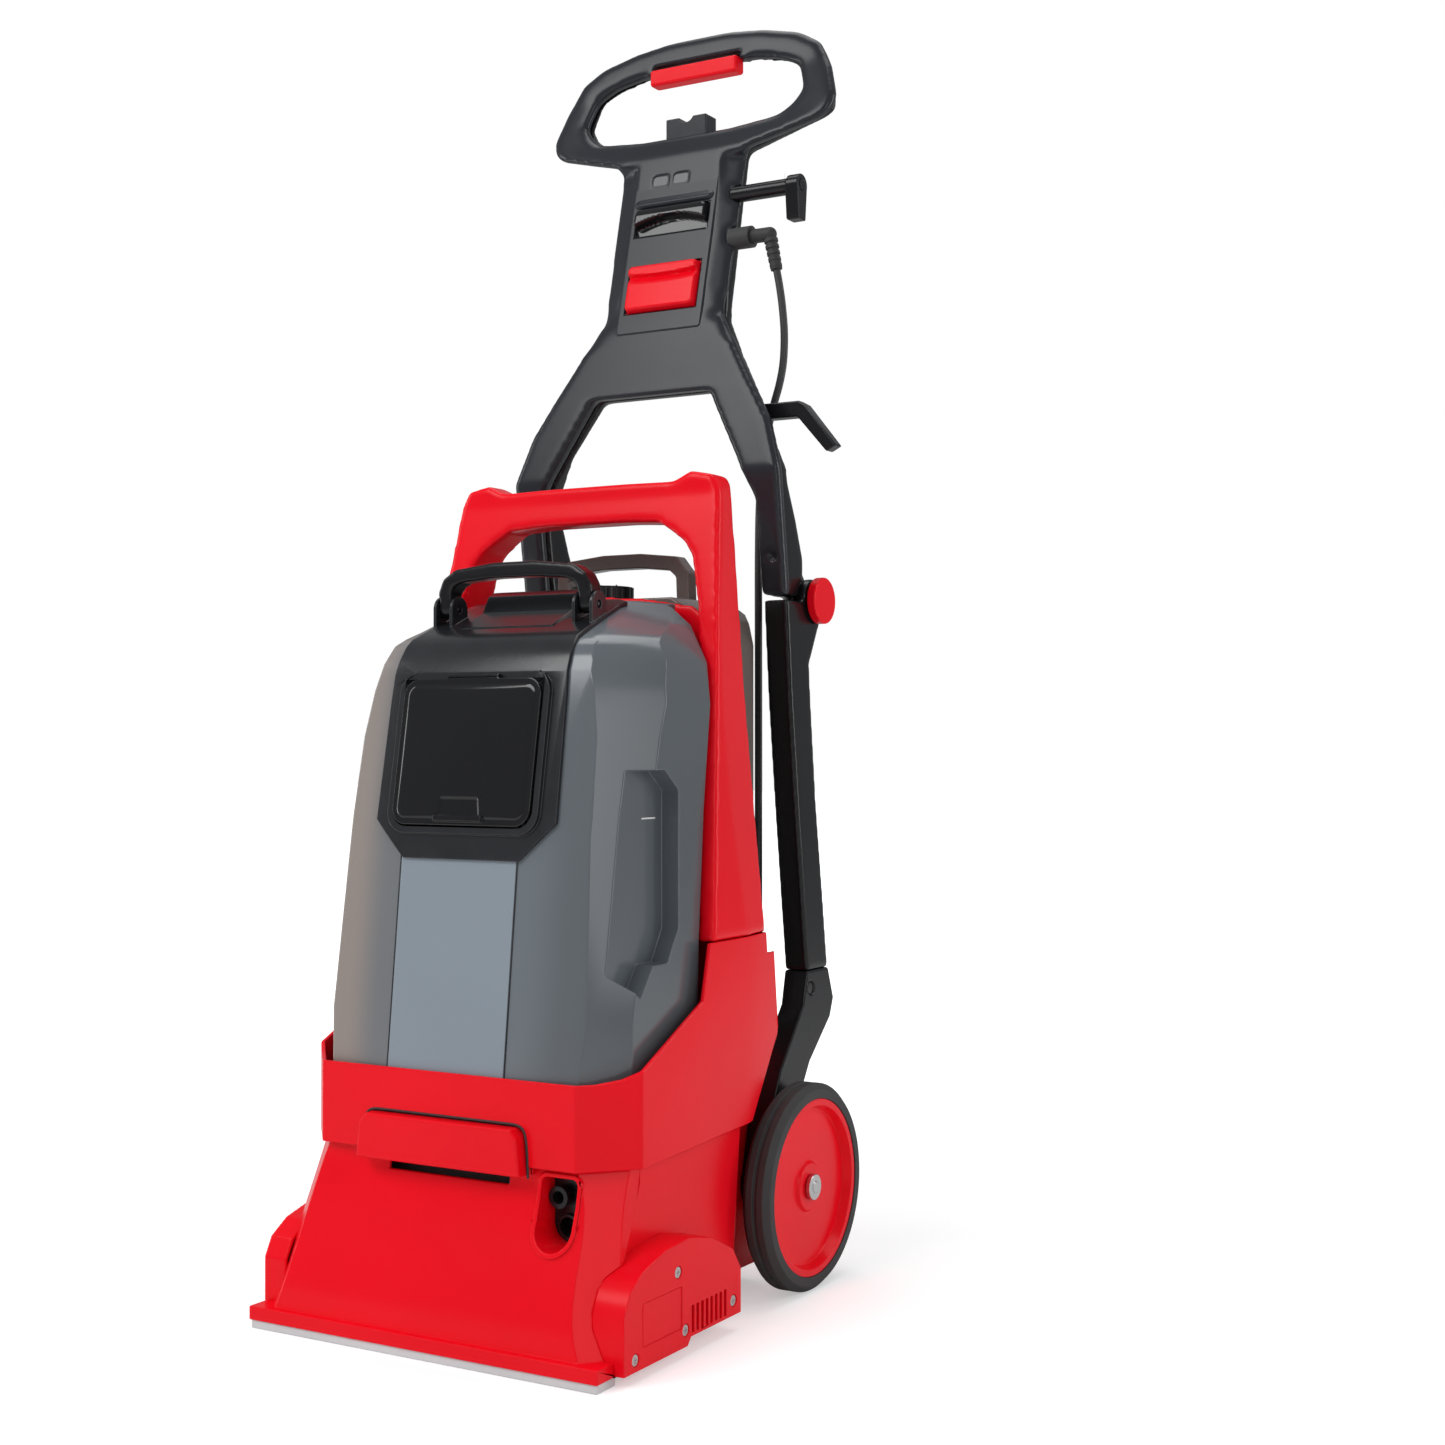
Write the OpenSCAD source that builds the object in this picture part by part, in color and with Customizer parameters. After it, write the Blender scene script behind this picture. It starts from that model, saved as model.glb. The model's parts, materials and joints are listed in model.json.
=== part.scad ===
// Upright carpet cleaner: a floor head with a brush and a suction nozzle, two
// lift-off tanks and a handle that folds down behind the machine.
// Millimetres, +Z up, +X to the right as seen from in front, +Y to the back.
// Lengths along Y are counted from the front edge of the suction nozzle. The
// finished model is then moved so that its origin lies on the floor under the
// middle of the machine.

/* [Floor head] */
// Width of the suction nozzle
nozzle_w = 338; // [326:1:344]
// Width of the red lower body over its flat sides
body_w = 300; // [290:1:304]
// Width of the upper body, the tray that carries both tanks
tray_w = 320; // [316:1:324]
// Width over the wheels
cover_w = 356; // [350:1:362]
// Depth of the drive cover on the right hand side
drive_cover_t = 28; // [24:1:30]
// Depth of the plain cover on the other side
plain_cover_t = 23; // [18:1:25]
// Height of the seam between the lower body and the upper body
deck_z = 149; // [145:1:153]
// Height of the upper body's front wall
tray_front_h = 66; // [58:1:72]
// Wall of the moulded casings
wall = 3.5; // [2.5:0.5:4.5]
// Thickness of the pale lip under the nozzle
lip_t = 7; // [5:0.5:9]
// Number of slots in a side cover's grille
vent_count = 8; // [5:1:9]
// Reach of the front carrying grip
grip_w = 158; // [130:1:170]

/* [Brush drive] */
// Radius over the brush bristles
brush_r = 33; // [30:0.5:34]
// Length of the brush roller
brush_len = 272; // [240:1:278]
// Radius of the brush roller's core
core_r = 17; // [13:0.5:20]
// Number of bristle rings
tuft_rings = 18; // [10:1:22]
// Radius of the brush shaft
shaft_r = 5; // [4:0.5:6]
// Pitch radius of the pulley on the brush
big_pulley_r = 12; // [11:0.5:13]
// Pitch radius of the pulley on the motor
small_pulley_r = 8; // [7:0.5:9]
// Thickness of the belt
belt_t = 2; // [1.5:0.1:2.5]

/* [Wheels] */
// Radius of a wheel over its tyre
wheel_r = 89; // [84:1:92]
// Width of a tyre
tyre_w = 26; // [22:1:28]
// Height of the tyre's section
tyre_h = 13; // [10:0.5:16]
// Radius of the axle
axle_r = 8; // [6:0.5:9]

/* [Recovery tank] */
// Width of the front tank
tank_w = 296; // [288:1:300]
// Wall of both tanks
tank_wall = 3; // [2:0.5:4]
// Thickness of the dark front panel
shroud_t = 3.5; // [3:0.5:4.5]
// Radius of the bore that takes the vacuum hose's end
hose_bore_r = 19; // [16:0.5:21]
// Height of the port door
door_h = 119; // [110:1:124]
// Width of the port door
door_w = 136; // [120:1:142]
// Reach of the tank's carrying handle from foot to foot
bail_w = 142; // [130:1:150]

/* [Solution tank] */
// Width of the rear tank
clean_w = 224; // [210:1:226]
// Depth of the rear tank
clean_d = 104; // [90:1:106]
// Radius of the filler cap
cap_r = 27; // [22:0.5:32]

/* [Carry frame] */
// Height of the carry frame's shoulders
arch_z = 704; // [696:1:712]
// Height of the grip bar over its opening
arch_bar_h = 36; // [28:1:42]

/* [Handle] */
// Height of the machine
machine_h = 1150; // [1135:1:1165]
// Height of the folding hinge
hinge_z = 602; // [598:1:606]
// Width of the grip loop
loop_w = 311; // [300:1:318]
// Width of the mast
mast_w = 136; // [128:1:142]
// Depth of the handle's front shell
front_shell_d = 14; // [12:1:18]
// Extra depth of the handle's rear shell
rear_extra = 0; // [-1:0.5:4]
// Width of a leg
leg_w = 24; // [22:1:25]
// Radius of a folding knob
knob_r = 21; // [18:0.5:23]
// Travel of the trigger
trigger_travel = 5; // [3:0.5:6]

/* [Cord] */
// Diameter of the power cord
cord_d = 7; // [6:0.5:8]
// Turns of the coil side by side
coil_cols = 7; // [5:1:8]
// Turns of the coil on each other
coil_rows = 3; // [2:1:4]

/* [Fits] */
// Gap between parts that move past each other
gap = 0.5; // [0.4:0.1:0.8]
// Radial clearance of a turning fit
run_fit = 0.05; // [0.03:0.01:0.09]
// Radial clearance of a fixed pin in its hole
snug = 0.02; // [0.01:0.01:0.05]

/* [Hidden] */
$fn = 48;

// ---- places that more than one part uses -------------------------------

big = 2000;                                  // longer than the machine
half_body = body_w / 2;
half_tray = tray_w / 2;
half_cover = cover_w / 2;

// Depths, counted from the nozzle's front edge.
tray_front_y = 37;
partition_y = 232;                           // wall between the two tank bays
body_rear_y = 246;                           // back of the wide lower body
housing_rear_y = 335;                        // back of the motor housing
wing_rear_y = 314;                           // tips of the upper body's wings
machine_d = 442;                             // from the nozzle to the back of the handle
mid_y = machine_d / 2;                       // the origin's place

// Heights.
pan_z = 16;                                  // underside of the motor housing
tray_top_z = deck_z + tray_front_h;
tray_floor_z = deck_z + 23;
skirt_z = tray_floor_z - wall;               // top of the lower body's walls
rear_deck_z = deck_z + 77;                   // floor of the solution tank's bay
rear_skirt_z = rear_deck_z - wall;
frame_seam_z = deck_z + 163;                 // seam of the carry frame

// Axles and shafts, as [Y, Z].
wheel_at = [328.5, wheel_r];
brush_at = [75, brush_r + 0.5];
motor_at = [150, 52];
hinge_at = [400, hinge_z];

leg_out_x = 140;                             // outer face of both legs
wheel_back_x = leg_out_x + 12;               // inner face of the tyres
wheel_face_x = wheel_back_x + tyre_w;
leg_in_x = leg_out_x - leg_w;
housing_w = 2 * leg_in_x;                    // motor housing between the legs
lug_r = 20;                                  // hinge lugs
lug_split_x = leg_out_x - leg_w / 2;
pin_r = 5;                                   // screws of the folding knobs

// Front face of the recovery tank, as [Y, Z]: it leans back and rolls over.
tank_face = [
    [42, tray_top_z], [61.5, 400], [83.2, 530], [88, 541], [93.5, 550], [100, 556], [111, 561],
    [141, 574], [186, 593]
];
seal_h = 3;
tank_floor_z = tray_floor_z + seal_h;        // it stands on its seal
tank_top_z = 590;

// ---- helpers -------------------------------------------------------------

// Moves the machine so that the origin is under its middle.
module placed() { translate([0, -mid_y, 0]) children(); }

// Extrudes an outline given in (Y, Z) from x0 to x1.
module across(x0, x1) {
    translate([x0, 0, 0]) rotate([90, 0, 90]) linear_extrude(x1 - x0) children();
}

// Extrudes an outline given in (X, Z) from y0 back to y1.
module along(y0, y1) {
    translate([0, y1, 0]) rotate([90, 0, 0]) linear_extrude(y1 - y0) children();
}

// A bar between two corners.
module block(low, high) { translate(low) cube(high - low); }

// A cylinder along X from x0 to x1 about the axis at [y, z].
module rod_x(at, r, x0, x1) {
    translate([x0, at[0], at[1]]) rotate([0, 90, 0]) cylinder(h = x1 - x0, r = r);
}

// A cylinder along Y from y0 to y1 about the axis at [x, z].
module rod_y(at, r, y0, y1) {
    translate([at[0], y0, at[1]]) rotate([-90, 0, 0]) cylinder(h = y1 - y0, r = r);
}

// Both sides of a symmetric part.
module both() {
    children();
    mirror([1, 0, 0]) children();
}

// A rectangle w by h about the origin with round corners.
module round_rect(w, h, r) {
    for (sx = [-1, 1], sy = [-1, 1])
        translate([sx * (w / 2 - r), sy * (h / 2 - r)]) circle(r);
    square([w - 2 * r, h], center = true);
    square([w, h - 2 * r], center = true);
}

// Mirrors the points of a half outline and joins both halves.
function closed(points) = concat(points, [
    for (i = [len(points) - 1:-1:0]) [-points[i][0], points[i][1]]
]);

// A smooth step from 0 to 1.
function ease(t) = t * t * (3 - 2 * t);

// ---- lower body ----------------------------------------------------------

flare_low_z = 18;                            // foot of the flared front
flare_steps = 10;
front_foot_y = 7;
front_top_y = 44;
corner_at = [119, 41];                       // where the corner facet meets the deck
corner_turn = 47;
corner_tilt = 18.5;
port_x = 107;                                // middle of the connection recess
port_slot_r = 16.5;
port_low_z = 106;
port_high_z = 143;
port_back_y = 62;
port_pin_x = 100;                            // the fluid coupler, over the power socket
port_fluid_z = 126;
port_power_x = 105;
port_power_z = 103;
socket_r = 5;
power_r = 7.5;
coupler_r = 8.5;
chamber_y = 118;                             // back wall of the brush chamber
slot_gap = 12;                               // depth of the suction slot

function flare(z) = z >= deck_z ? 0 : ease((deck_z - z) / (deck_z - flare_low_z));
function front_y(z) = front_top_y - (front_top_y - front_foot_y) * flare(z);
function flare_x(z) = half_body + (nozzle_w / 2 - 5 - half_body) * flare(z);
// The edge where the flared front meets the flat side panel.
function shoulder_y(z) = front_y(z) + 15 + 29 * (1 - flare(z));
function flare_z(i) = flare_low_z + (deck_z - flare_low_z) * i / flare_steps;

// The whole outer form of the lower body, or with an inset its hollow.
module lower_form(inset) {
    foot_z = inset > 0 ? flare_low_z - 1 : flare_low_z;
    steps = [for (i = [0:flare_steps]) i];
    intersection() {
        union() {
            // The flared front, up to the edge of the side panels.
            intersection() {
                across(-big, big) polygon(concat(
                    [[front_foot_y + inset, foot_z]],
                    [for (i = steps) [front_y(flare_z(i)) + inset, flare_z(i)]],
                    [for (i = steps) let (z = flare_z(flare_steps - i)) [shoulder_y(z) - inset, z]],
                    [[shoulder_y(flare_low_z) - inset, foot_z]]
                ));
                along(0, big) polygon(closed(concat(
                    [[flare_x(flare_low_z) - inset, foot_z]],
                    [for (i = steps) [flare_x(flare_z(i)) - inset, flare_z(i)]]
                )));
            }
            // The flat-sided case behind it, which runs up into the upper body.
            across(-half_body + inset, half_body - inset) polygon(concat(
                [[front_foot_y + 3 + inset, foot_z]],
                [for (i = steps) [front_y(flare_z(i)) + inset, flare_z(i)]],
                [[front_top_y + inset, skirt_z + inset], [body_rear_y - inset, skirt_z + inset],
                 [body_rear_y - 12 - inset, 56], [body_rear_y - 12 - inset, foot_z]]
            ));
            if (inset == 0) motor_housing(inset);
        }
        front_facet(inset);
        mirror([1, 0, 0]) front_facet(inset);
    }
    if (inset > 0) motor_housing(inset);
}

// The narrower housing between the wheels.
module motor_housing(inset) {
    low = inset > 0 ? pan_z - 1 : pan_z;
    side = housing_w / 2 - inset;
    block([-side, body_rear_y - 40, low], [side, housing_rear_y - inset, skirt_z - inset]);
    block([-side, partition_y + wall + gap + inset, skirt_z - inset - 1],
          [side, housing_rear_y - inset, rear_skirt_z - inset]);
}

// Keeps what lies inside one sloping front corner.
module front_facet(inset) {
    translate([corner_at[0], corner_at[1], deck_z])
        rotate([0, 0, corner_turn]) rotate([-corner_tilt, 0, 0])
            translate([-big, inset, -big]) cube(2 * big);
}

// The outline of the connection recess, grown by g.
module port_outline(g) {
    translate([port_x, port_low_z]) circle(port_slot_r + g);
    translate([port_x, (port_low_z + port_high_z) / 2])
        round_rect(2 * (port_slot_r + g), port_high_z - port_low_z + 2 * g, 5 + g);
}

module lower_body() color("crimson") placed() {
    difference() {
        union() {
            difference() {
                lower_form(0);
                lower_form(wall);
            }
            // Flange over the lip.
            difference() {
                block([-nozzle_w / 2, 0, lip_t], [nozzle_w / 2, 27, flare_low_z]);
                block([-half_body + 8, front_foot_y + wall, 0], [half_body - 8, 22, flare_low_z + 1]);
            }
            // Raised rim and box of the connection recess.
            intersection() {
                union() {
                    along(0, port_back_y + wall) port_outline(wall);
                    along(0, front_y(port_low_z)) port_outline(4);
                }
                lower_form(-2);
            }
            intersection() {
                union() {
                    block([-half_body, chamber_y, flare_low_z], [half_body, chamber_y + wall, 100]);
                    both() across(half_body - wall, half_body) polygon(cover_outline(-2));
                }
                lower_form(0);
            }
        }
        both() across(half_body, big) polygon(cover_outline(-0.3));
        along(-5, port_back_y) port_outline(0);
        rod_y([port_pin_x, port_fluid_z], coupler_r + 0.1, port_back_y - 1, port_back_y + 9);
        rod_y([port_power_x, port_power_z], power_r + 2.1, port_back_y - 1, port_back_y + 9);
        // Finger room under the front grip.
        block([-59, front_top_y - 20, 133], [59, front_top_y + 12, 141]);
        rod_x(brush_at, bush_r + snug, -half_body - 1, half_body + 1);
        rod_x(motor_at, 7, half_body - 10, half_body + 1);
        rod_x(wheel_at, axle_r + snug, -half_body, half_body);
        translate([0, air_duct_y, skirt_z]) cylinder(h = 20, r = air_duct_r, center = true);
        translate([0, valve_y, rear_skirt_z]) cylinder(h = 20, r = valve_seat_r, center = true);
        both() for (p = cover_screw_at) rod_x(p, 2.2, half_body - 10, half_body + 10);
    }
}

// The pale lip that seals the nozzle against the carpet.
module nozzle_lip() color([0.86, 0.87, 0.88]) placed() difference() {
    block([-nozzle_w / 2 + 1, 1.5, 0], [nozzle_w / 2 - 1, 26, lip_t]);
    block([-half_body + 8, front_foot_y + wall, -1], [half_body - 8, 22, lip_t + 1]);
}

// The inner wall of the suction slot, which follows the flared front.
module nozzle_plate() color("dimgray") placed() difference() {
    intersection() {
        across(-half_body + 9, half_body - 9) polygon(concat(
            [for (i = [1:flare_steps]) [front_y(flare_z(i)) + wall + slot_gap, flare_z(i)]],
            [for (i = [flare_steps:-1:1]) [front_y(flare_z(i)) + wall + slot_gap + 2.5, flare_z(i)]]
        ));
        front_facet(wall + 1);
        mirror([1, 0, 0]) front_facet(wall + 1);
    }
    // Room for the connection recess.
    both() block([port_x - port_slot_r - wall - 1, 0, port_low_z - port_slot_r - wall - 1],
                 [big, big, big]);
}

// The black pan under the motors.
module base_pan() color([0.12, 0.12, 0.13]) placed() difference() {
    union() {
        block([-half_body + wall, chamber_y + wall, flare_low_z - 1],
              [half_body - wall, body_rear_y - 12 - wall, flare_low_z + 2]);
        block([-housing_w / 2 + wall, body_rear_y - 20, flare_low_z - 1],
              [housing_w / 2 - wall, housing_rear_y - wall, flare_low_z + 2]);
    }
    for (x = [-90, 90], y = [135, 210])
        translate([x, y, 0]) cylinder(h = big, r = 2.2, center = true);
}

// The pipe with three nozzles that wets the carpet behind the brush.
module spray_bar() color("gray") placed() {
    at = [108, 92];
    difference() {
        rod_x(at, 5, -half_body + wall, half_body - wall);
        rod_x(at, 3, -half_body + 12, half_body - 12);
    }
    for (x = [-95, 0, 95]) translate([x, at[0] - 3, at[1] - 4.5])
        rotate([155, 0, 0]) cylinder(h = 12, r = 3.5);
}

// ---- side covers -----------------------------------------------------------

cover_screw_at = [[99, 68], [184, 26], [110, 21], [38, 17]];
cover_low_z = 8;
cover_step_y = 113;
vent_y = [119, 176];
vent_z = [14, 38];
label_at = [[48, 24], [104, 56]];

function cover_outline(i) = [
    [22 + i, cover_low_z + i], [22 + i, 52], [30 + i, 68 - i / 2], [48 + i / 2, 80 - i],
    [80, 89 - i], [116, 91 - i], [150, 84 - i], [183 - i / 2, 68 - i], [196 - i, 50 - i / 2],
    [196 - i, 14 + i], [cover_step_y + 5, 14 + i], [cover_step_y, cover_low_z + i]
];

// A cover of depth d over the end of the brush chamber.
module side_cover(d) {
    face = half_body + d;
    t = wall;
    boss_r = 6;
    difference() {
        union() {
            difference() {
                across(half_body, face) polygon(cover_outline(0));
                across(half_body - 1, face - t) polygon(cover_outline(t));
            }
            intersection() {
                for (p = cover_screw_at) rod_x(p, boss_r, half_body, face - 1);
                across(half_body, face) polygon(cover_outline(0));
            }
        }
        for (p = cover_screw_at) {
            rod_x(p, 2.2, half_body - 1, face + 1);
            rod_x(p, 4.8, face - 3, face + 1);
        }
        pitch = (vent_y[1] - vent_y[0]) / vent_count;
        for (i = [0:vent_count - 1])
            block([face - t - 1, vent_y[0] + i * pitch, vent_z[0] + 3],
                  [face + 1, vent_y[0] + i * pitch + pitch / 2, vent_z[1]]);
        // A shallow bare panel.
        block([face - 0.6, label_at[0][0], label_at[0][1]], [face + 1, label_at[1][0], label_at[1][1]]);
    }
}

module side_cover_right() color("crimson") placed() side_cover(drive_cover_t);
module side_cover_left() color("crimson") placed() mirror([1, 0, 0]) side_cover(plain_cover_t);

// The four screws of a cover of depth d.
module screws_of(d) for (p = cover_screw_at) {
    face = half_body + d;
    rod_x(p, 2, half_body - 8, face - 2);
    difference() {
        rod_x(p, 4.2, face - 3, face - 0.8);
        for (turn = [0, 90]) translate([face - 0.6, p[0], p[1]])
            rotate([turn, 0, 0]) cube([1.6, 5, 1], center = true);
    }
}

module cover_screws() color("silver") placed() {
    screws_of(drive_cover_t);
    mirror([1, 0, 0]) screws_of(plain_cover_t);
}

// ---- connections at the front ----------------------------------------------

module port_panel() color([0.1, 0.1, 0.1]) placed() difference() {
    union() {
        along(port_back_y - 3, port_back_y) port_outline(-gap);
        rod_y([port_power_x, port_power_z], power_r + 2, port_back_y - 6, port_back_y + 9);
    }
    rod_y([port_power_x, port_power_z], power_r, port_back_y - 7, port_back_y + 6);
    rod_y([port_pin_x, port_fluid_z], coupler_r, port_back_y - 7, port_back_y + 10);
}

module fluid_coupler() color([0.16, 0.17, 0.18]) placed() difference() {
    rod_y([port_pin_x, port_fluid_z], coupler_r, port_back_y - 12, port_back_y + 14);
    rod_y([port_pin_x, port_fluid_z], socket_r, port_back_y - 13, port_back_y + 8);
}

// ---- upper body --------------------------------------------------------------

tray_corner_x = 124;
tray_side_y = 76;
wing_x = 148;
air_duct_y = 205;                            // air way from the recovery tank
air_duct_r = 22;
valve_y = partition_y + 50;                  // valve of the solution tank
valve_seat_r = 14;
grip_z = [143, 179];
grip_y = 26;

// Plan of the upper body, with an inset for its hollows.
function tray_plan(i) = closed([
    [tray_corner_x - 0.4 * i, tray_front_y + i], [half_tray - i, tray_side_y + 0.4 * i],
    [half_tray - i, 240], [wing_x - i, wing_rear_y + (i > 0 ? 20 : 0)]
]);

module tray_prism(i, z0, z1) {
    translate([0, 0, z0]) linear_extrude(z1 - z0) polygon(tray_plan(i));
}

// Side view of the upper body.
module tray_side() {
    across(-big, big) polygon([
        [0, deck_z], [80, deck_z], [251, deck_z + 8], [wing_rear_y, deck_z + 74],
        [wing_rear_y - 10, deck_z + 145], [wing_rear_y - 26, deck_z + 145],
        [wing_rear_y - 29, frame_seam_z], [178, frame_seam_z], [167, tray_top_z + 52],
        [150, tray_top_z + 44], [66, tray_top_z + 3], [50, tray_top_z], [0, tray_top_z]
    ]);
}

module grip_outline(g) {
    polygon(closed([
        [grip_w / 2 + 1 + g, grip_z[0] - g], [grip_w / 2 - 2 + g, grip_z[1] - 7],
        [grip_w / 2 - 8 + g, grip_z[1] + g]
    ]));
}

module upper_body() color("crimson") placed() {
    difference() {
        intersection() {
            tray_prism(0, deck_z, frame_seam_z);
            tray_side();
        }
        // Bay of the recovery tank.
        intersection() {
            tray_prism(wall, tray_floor_z, big);
            block([-big, 0, 0], [big, partition_y, big]);
        }
        // Bay of the solution tank, open to the back.
        intersection() {
            tray_prism(wall, rear_deck_z, big);
            block([-big, partition_y + wall, 0], [big, big, big]);
        }
        // Underside.
        tray_prism(wall, 0, skirt_z);
        intersection() {
            tray_prism(wall, 0, rear_skirt_z);
            block([-big, partition_y + wall, 0], [big, big, big]);
        }
        along(0, tray_front_y + wall + 1) grip_outline(1);
        translate([0, valve_y, 0]) cylinder(h = big, r = valve_seat_r);
        translate([0, air_duct_y, 0]) cylinder(h = big, r = air_duct_r);
    }
}

module front_grip() color("crimson") placed() {
    difference() {
        along(grip_y, tray_front_y + wall) grip_outline(0);
        block([-grip_w / 2 + 10, grip_y + 5, 0], [grip_w / 2 - 10, big, grip_z[1] - 7]);
    }
    along(tray_front_y + wall, tray_front_y + wall + 2) intersection() {
        grip_outline(4);
        translate([-big, grip_z[0]]) square([2 * big, skirt_z - 0.5 - grip_z[0]]);
    }
}

// ---- carry frame ----------------------------------------------------------------

// Half width of the frame and depth of its front face, from the seam up.
frame_steps = [
    [frame_seam_z, half_tray - 0.5, 184], [420, 156, 192], [510, 151, 203], [584, 146, 214],
    [640, 139, 225], [arch_z - 18, 135, 234]
];
bar_top_z = arch_z - 7;
bar_low_z = bar_top_z - arch_bar_h + 1;
panel_top_z = 598;

module frame_front_outline() {
    polygon(closed(concat(
        [for (p = frame_steps) [p[1], p[0]]],
        [[127, arch_z - 4], [106, arch_z], [88, bar_top_z - 1], [40, bar_top_z]]
    )));
}

module frame_opening() {
    polygon(closed([
        [143, frame_seam_z - 10], [139, 420], [133, 510], [124, 590], [113, 632], [104, bar_low_z - 18],
        [78, bar_low_z - 1], [40, bar_low_z + 1]
    ]));
}

module carry_frame() color("crimson") placed() {
    intersection() {
        across(-big, big) polygon(concat(
            [for (p = frame_steps) [p[2], p[0]]],
            [[238, big], [310, big]],
            [[frame_steps[5][2] + 30, frame_steps[5][0]], [frame_steps[2][2] + 66, 510],
             [wing_rear_y - 29, frame_seam_z]]
        ));
        along(0, big) difference() {
            frame_front_outline();
            frame_opening();
        }
        rear_facet();
        mirror([1, 0, 0]) rear_facet();
    }
    // The panel between the tanks.
    intersection() {
        along(partition_y, partition_y + wall) polygon(closed([
            [147, frame_seam_z], [141, 420], [135, 510], [126, panel_top_z - 20],
            [110, panel_top_z - 8], [60, panel_top_z], [30, panel_top_z + 2]
        ]));
    }
}

// Cuts the outer rear edge of a column.
module rear_facet() {
    translate([frame_steps[0][1], 240, frame_seam_z]) rotate([0, 0, 9]) rotate([0, -3.7, 0])
        translate([-2 * big, -big, -big]) cube(2 * big);
}

// ---- inside the floor head ------------------------------------------------------

vac_at = [-30, 232];                         // axis of the vacuum motor
vac_r = 58;
bush_r = 9;

// The seal that the recovery tank stands on.
module tank_seal() color([0.15, 0.15, 0.15]) placed() translate([0, air_duct_y, tray_floor_z])
    difference() {
        cylinder(h = seal_h, r = air_duct_r + 4);
        translate([0, 0, -1]) cylinder(h = seal_h + 2, r = air_duct_r);
    }

module brush_bushes() color("goldenrod") placed() both() difference() {
    rod_x(brush_at, bush_r, half_body - wall - 3, half_body + 1.5);
    rod_x(brush_at, shaft_r + run_fit, half_body - wall - 4, half_body + 3);
}

module brush_motor() color([0.25, 0.25, 0.27]) placed() difference() {
    union() {
        rod_x(motor_at, 26, 68, half_body - wall);
        block([72, motor_at[0] - 20, flare_low_z + 2],
              [half_body - wall - 12, motor_at[0] + 20, motor_at[1]]);
    }
    rod_x(motor_at, 4 + run_fit, 90, half_body);
}

// The belt in the right hand cover, a loop round both pulleys.
module drive_belt() color([0.08, 0.08, 0.08]) placed() {
    across(belt_x0, belt_x1) difference() {
        polygon(belt_outline(belt_t + belt_gap));
        polygon(belt_outline(belt_gap));
    }
}

belt_x0 = half_body + 7;
belt_x1 = half_body + 17;
belt_gap = 0.3;                              // the belt clears both pulleys
belt_steps = 12;

// The outline of a loop round both pulleys, at the distance g from them: an
// arc on each pulley, joined by their common tangents.
function belt_outline(g) = let (
    d = motor_at - brush_at,
    swing = asin((big_pulley_r - small_pulley_r) / norm(d)),
    turn = atan2(d[1], d[0])
) concat(
    [for (k = [0:belt_steps]) let (a = turn + 90 - swing + (180 + 2 * swing) * k / belt_steps)
        brush_at + (big_pulley_r + g) * [cos(a), sin(a)]],
    [for (k = [0:belt_steps]) let (a = turn - 90 + swing + (180 - 2 * swing) * k / belt_steps)
        motor_at + (small_pulley_r + g) * [cos(a), sin(a)]]
);

module pump() color([0.2, 0.2, 0.22]) placed() {
    block([48, 205, flare_low_z + 2], [104, 262, flare_low_z + 44]);
    translate([76, 233, flare_low_z + 43]) cylinder(h = 34, r = 22);
    rod_y([76, flare_low_z + 24], 6, 261, 285);
}

module vacuum_motor() color([0.3, 0.3, 0.32]) placed() translate([vac_at[0], vac_at[1], 0]) {
    difference() {
        union() {
            translate([0, 0, flare_low_z + 2]) cylinder(h = 40, r = vac_r);
            translate([0, 0, flare_low_z + 41]) cylinder(h = 62, r = 40);
        }
        translate([0, 0, flare_low_z + 6]) cylinder(h = 31, r = vac_r - 5);
        translate([0, 0, flare_low_z]) cylinder(h = 10, r = 20);
        translate([0, 0, flare_low_z + 30]) cylinder(h = 60, r = 5 + run_fit);
    }
}

module vacuum_fan() color("silver") placed() translate([vac_at[0], vac_at[1], 0]) {
    translate([0, 0, flare_low_z + 9]) cylinder(h = 3, r = vac_r - 8);
    translate([0, 0, flare_low_z + 29]) difference() {
        cylinder(h = 3, r = vac_r - 8);
        translate([0, 0, -1]) cylinder(h = 5, r = 22);
    }
    for (a = [0:45:315]) rotate([0, 0, a])
        translate([22, -1, flare_low_z + 11.5]) cube([vac_r - 32, 2, 18]);
    translate([0, 0, flare_low_z + 11]) cylinder(h = 60, r = 5);
}

module brush_core() color([0.2, 0.2, 0.22]) placed() {
    rod_x(brush_at, core_r, -brush_len / 2, brush_len / 2);
    rod_x(brush_at, shaft_r, -half_body - 1, belt_x1 + 2);
}

module brush_bristles() color("white") placed() {
    pitch = brush_len / tuft_rings;
    for (i = [0:tuft_rings - 1]) {
        x = -brush_len / 2 + pitch * (i + 0.25);
        difference() {
            rod_x(brush_at, brush_r, x, x + pitch / 2);
            rod_x(brush_at, core_r, x - 1, x + pitch);
        }
    }
}

// The sleeve of a pulley between its two flanges, with a bore.
module pulley(at, r, bore) difference() {
    union() {
        rod_x(at, r, belt_x0 - 1, belt_x1 + 1);
        for (x = [belt_x0 - 2.5, belt_x1 + 0.8]) rod_x(at, r + 3, x, x + 1.7);
    }
    rod_x(at, bore, belt_x0 - 5, belt_x1 + 5);
}

module brush_pulley() color([0.15, 0.15, 0.15]) placed() pulley(brush_at, big_pulley_r, shaft_r);

module motor_pulley() color("silver") placed() {
    pulley(motor_at, small_pulley_r, 4);
    rod_x(motor_at, 4, 92, belt_x1 + 2);
}

// ---- wheels and rear brackets ---------------------------------------------------

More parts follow.
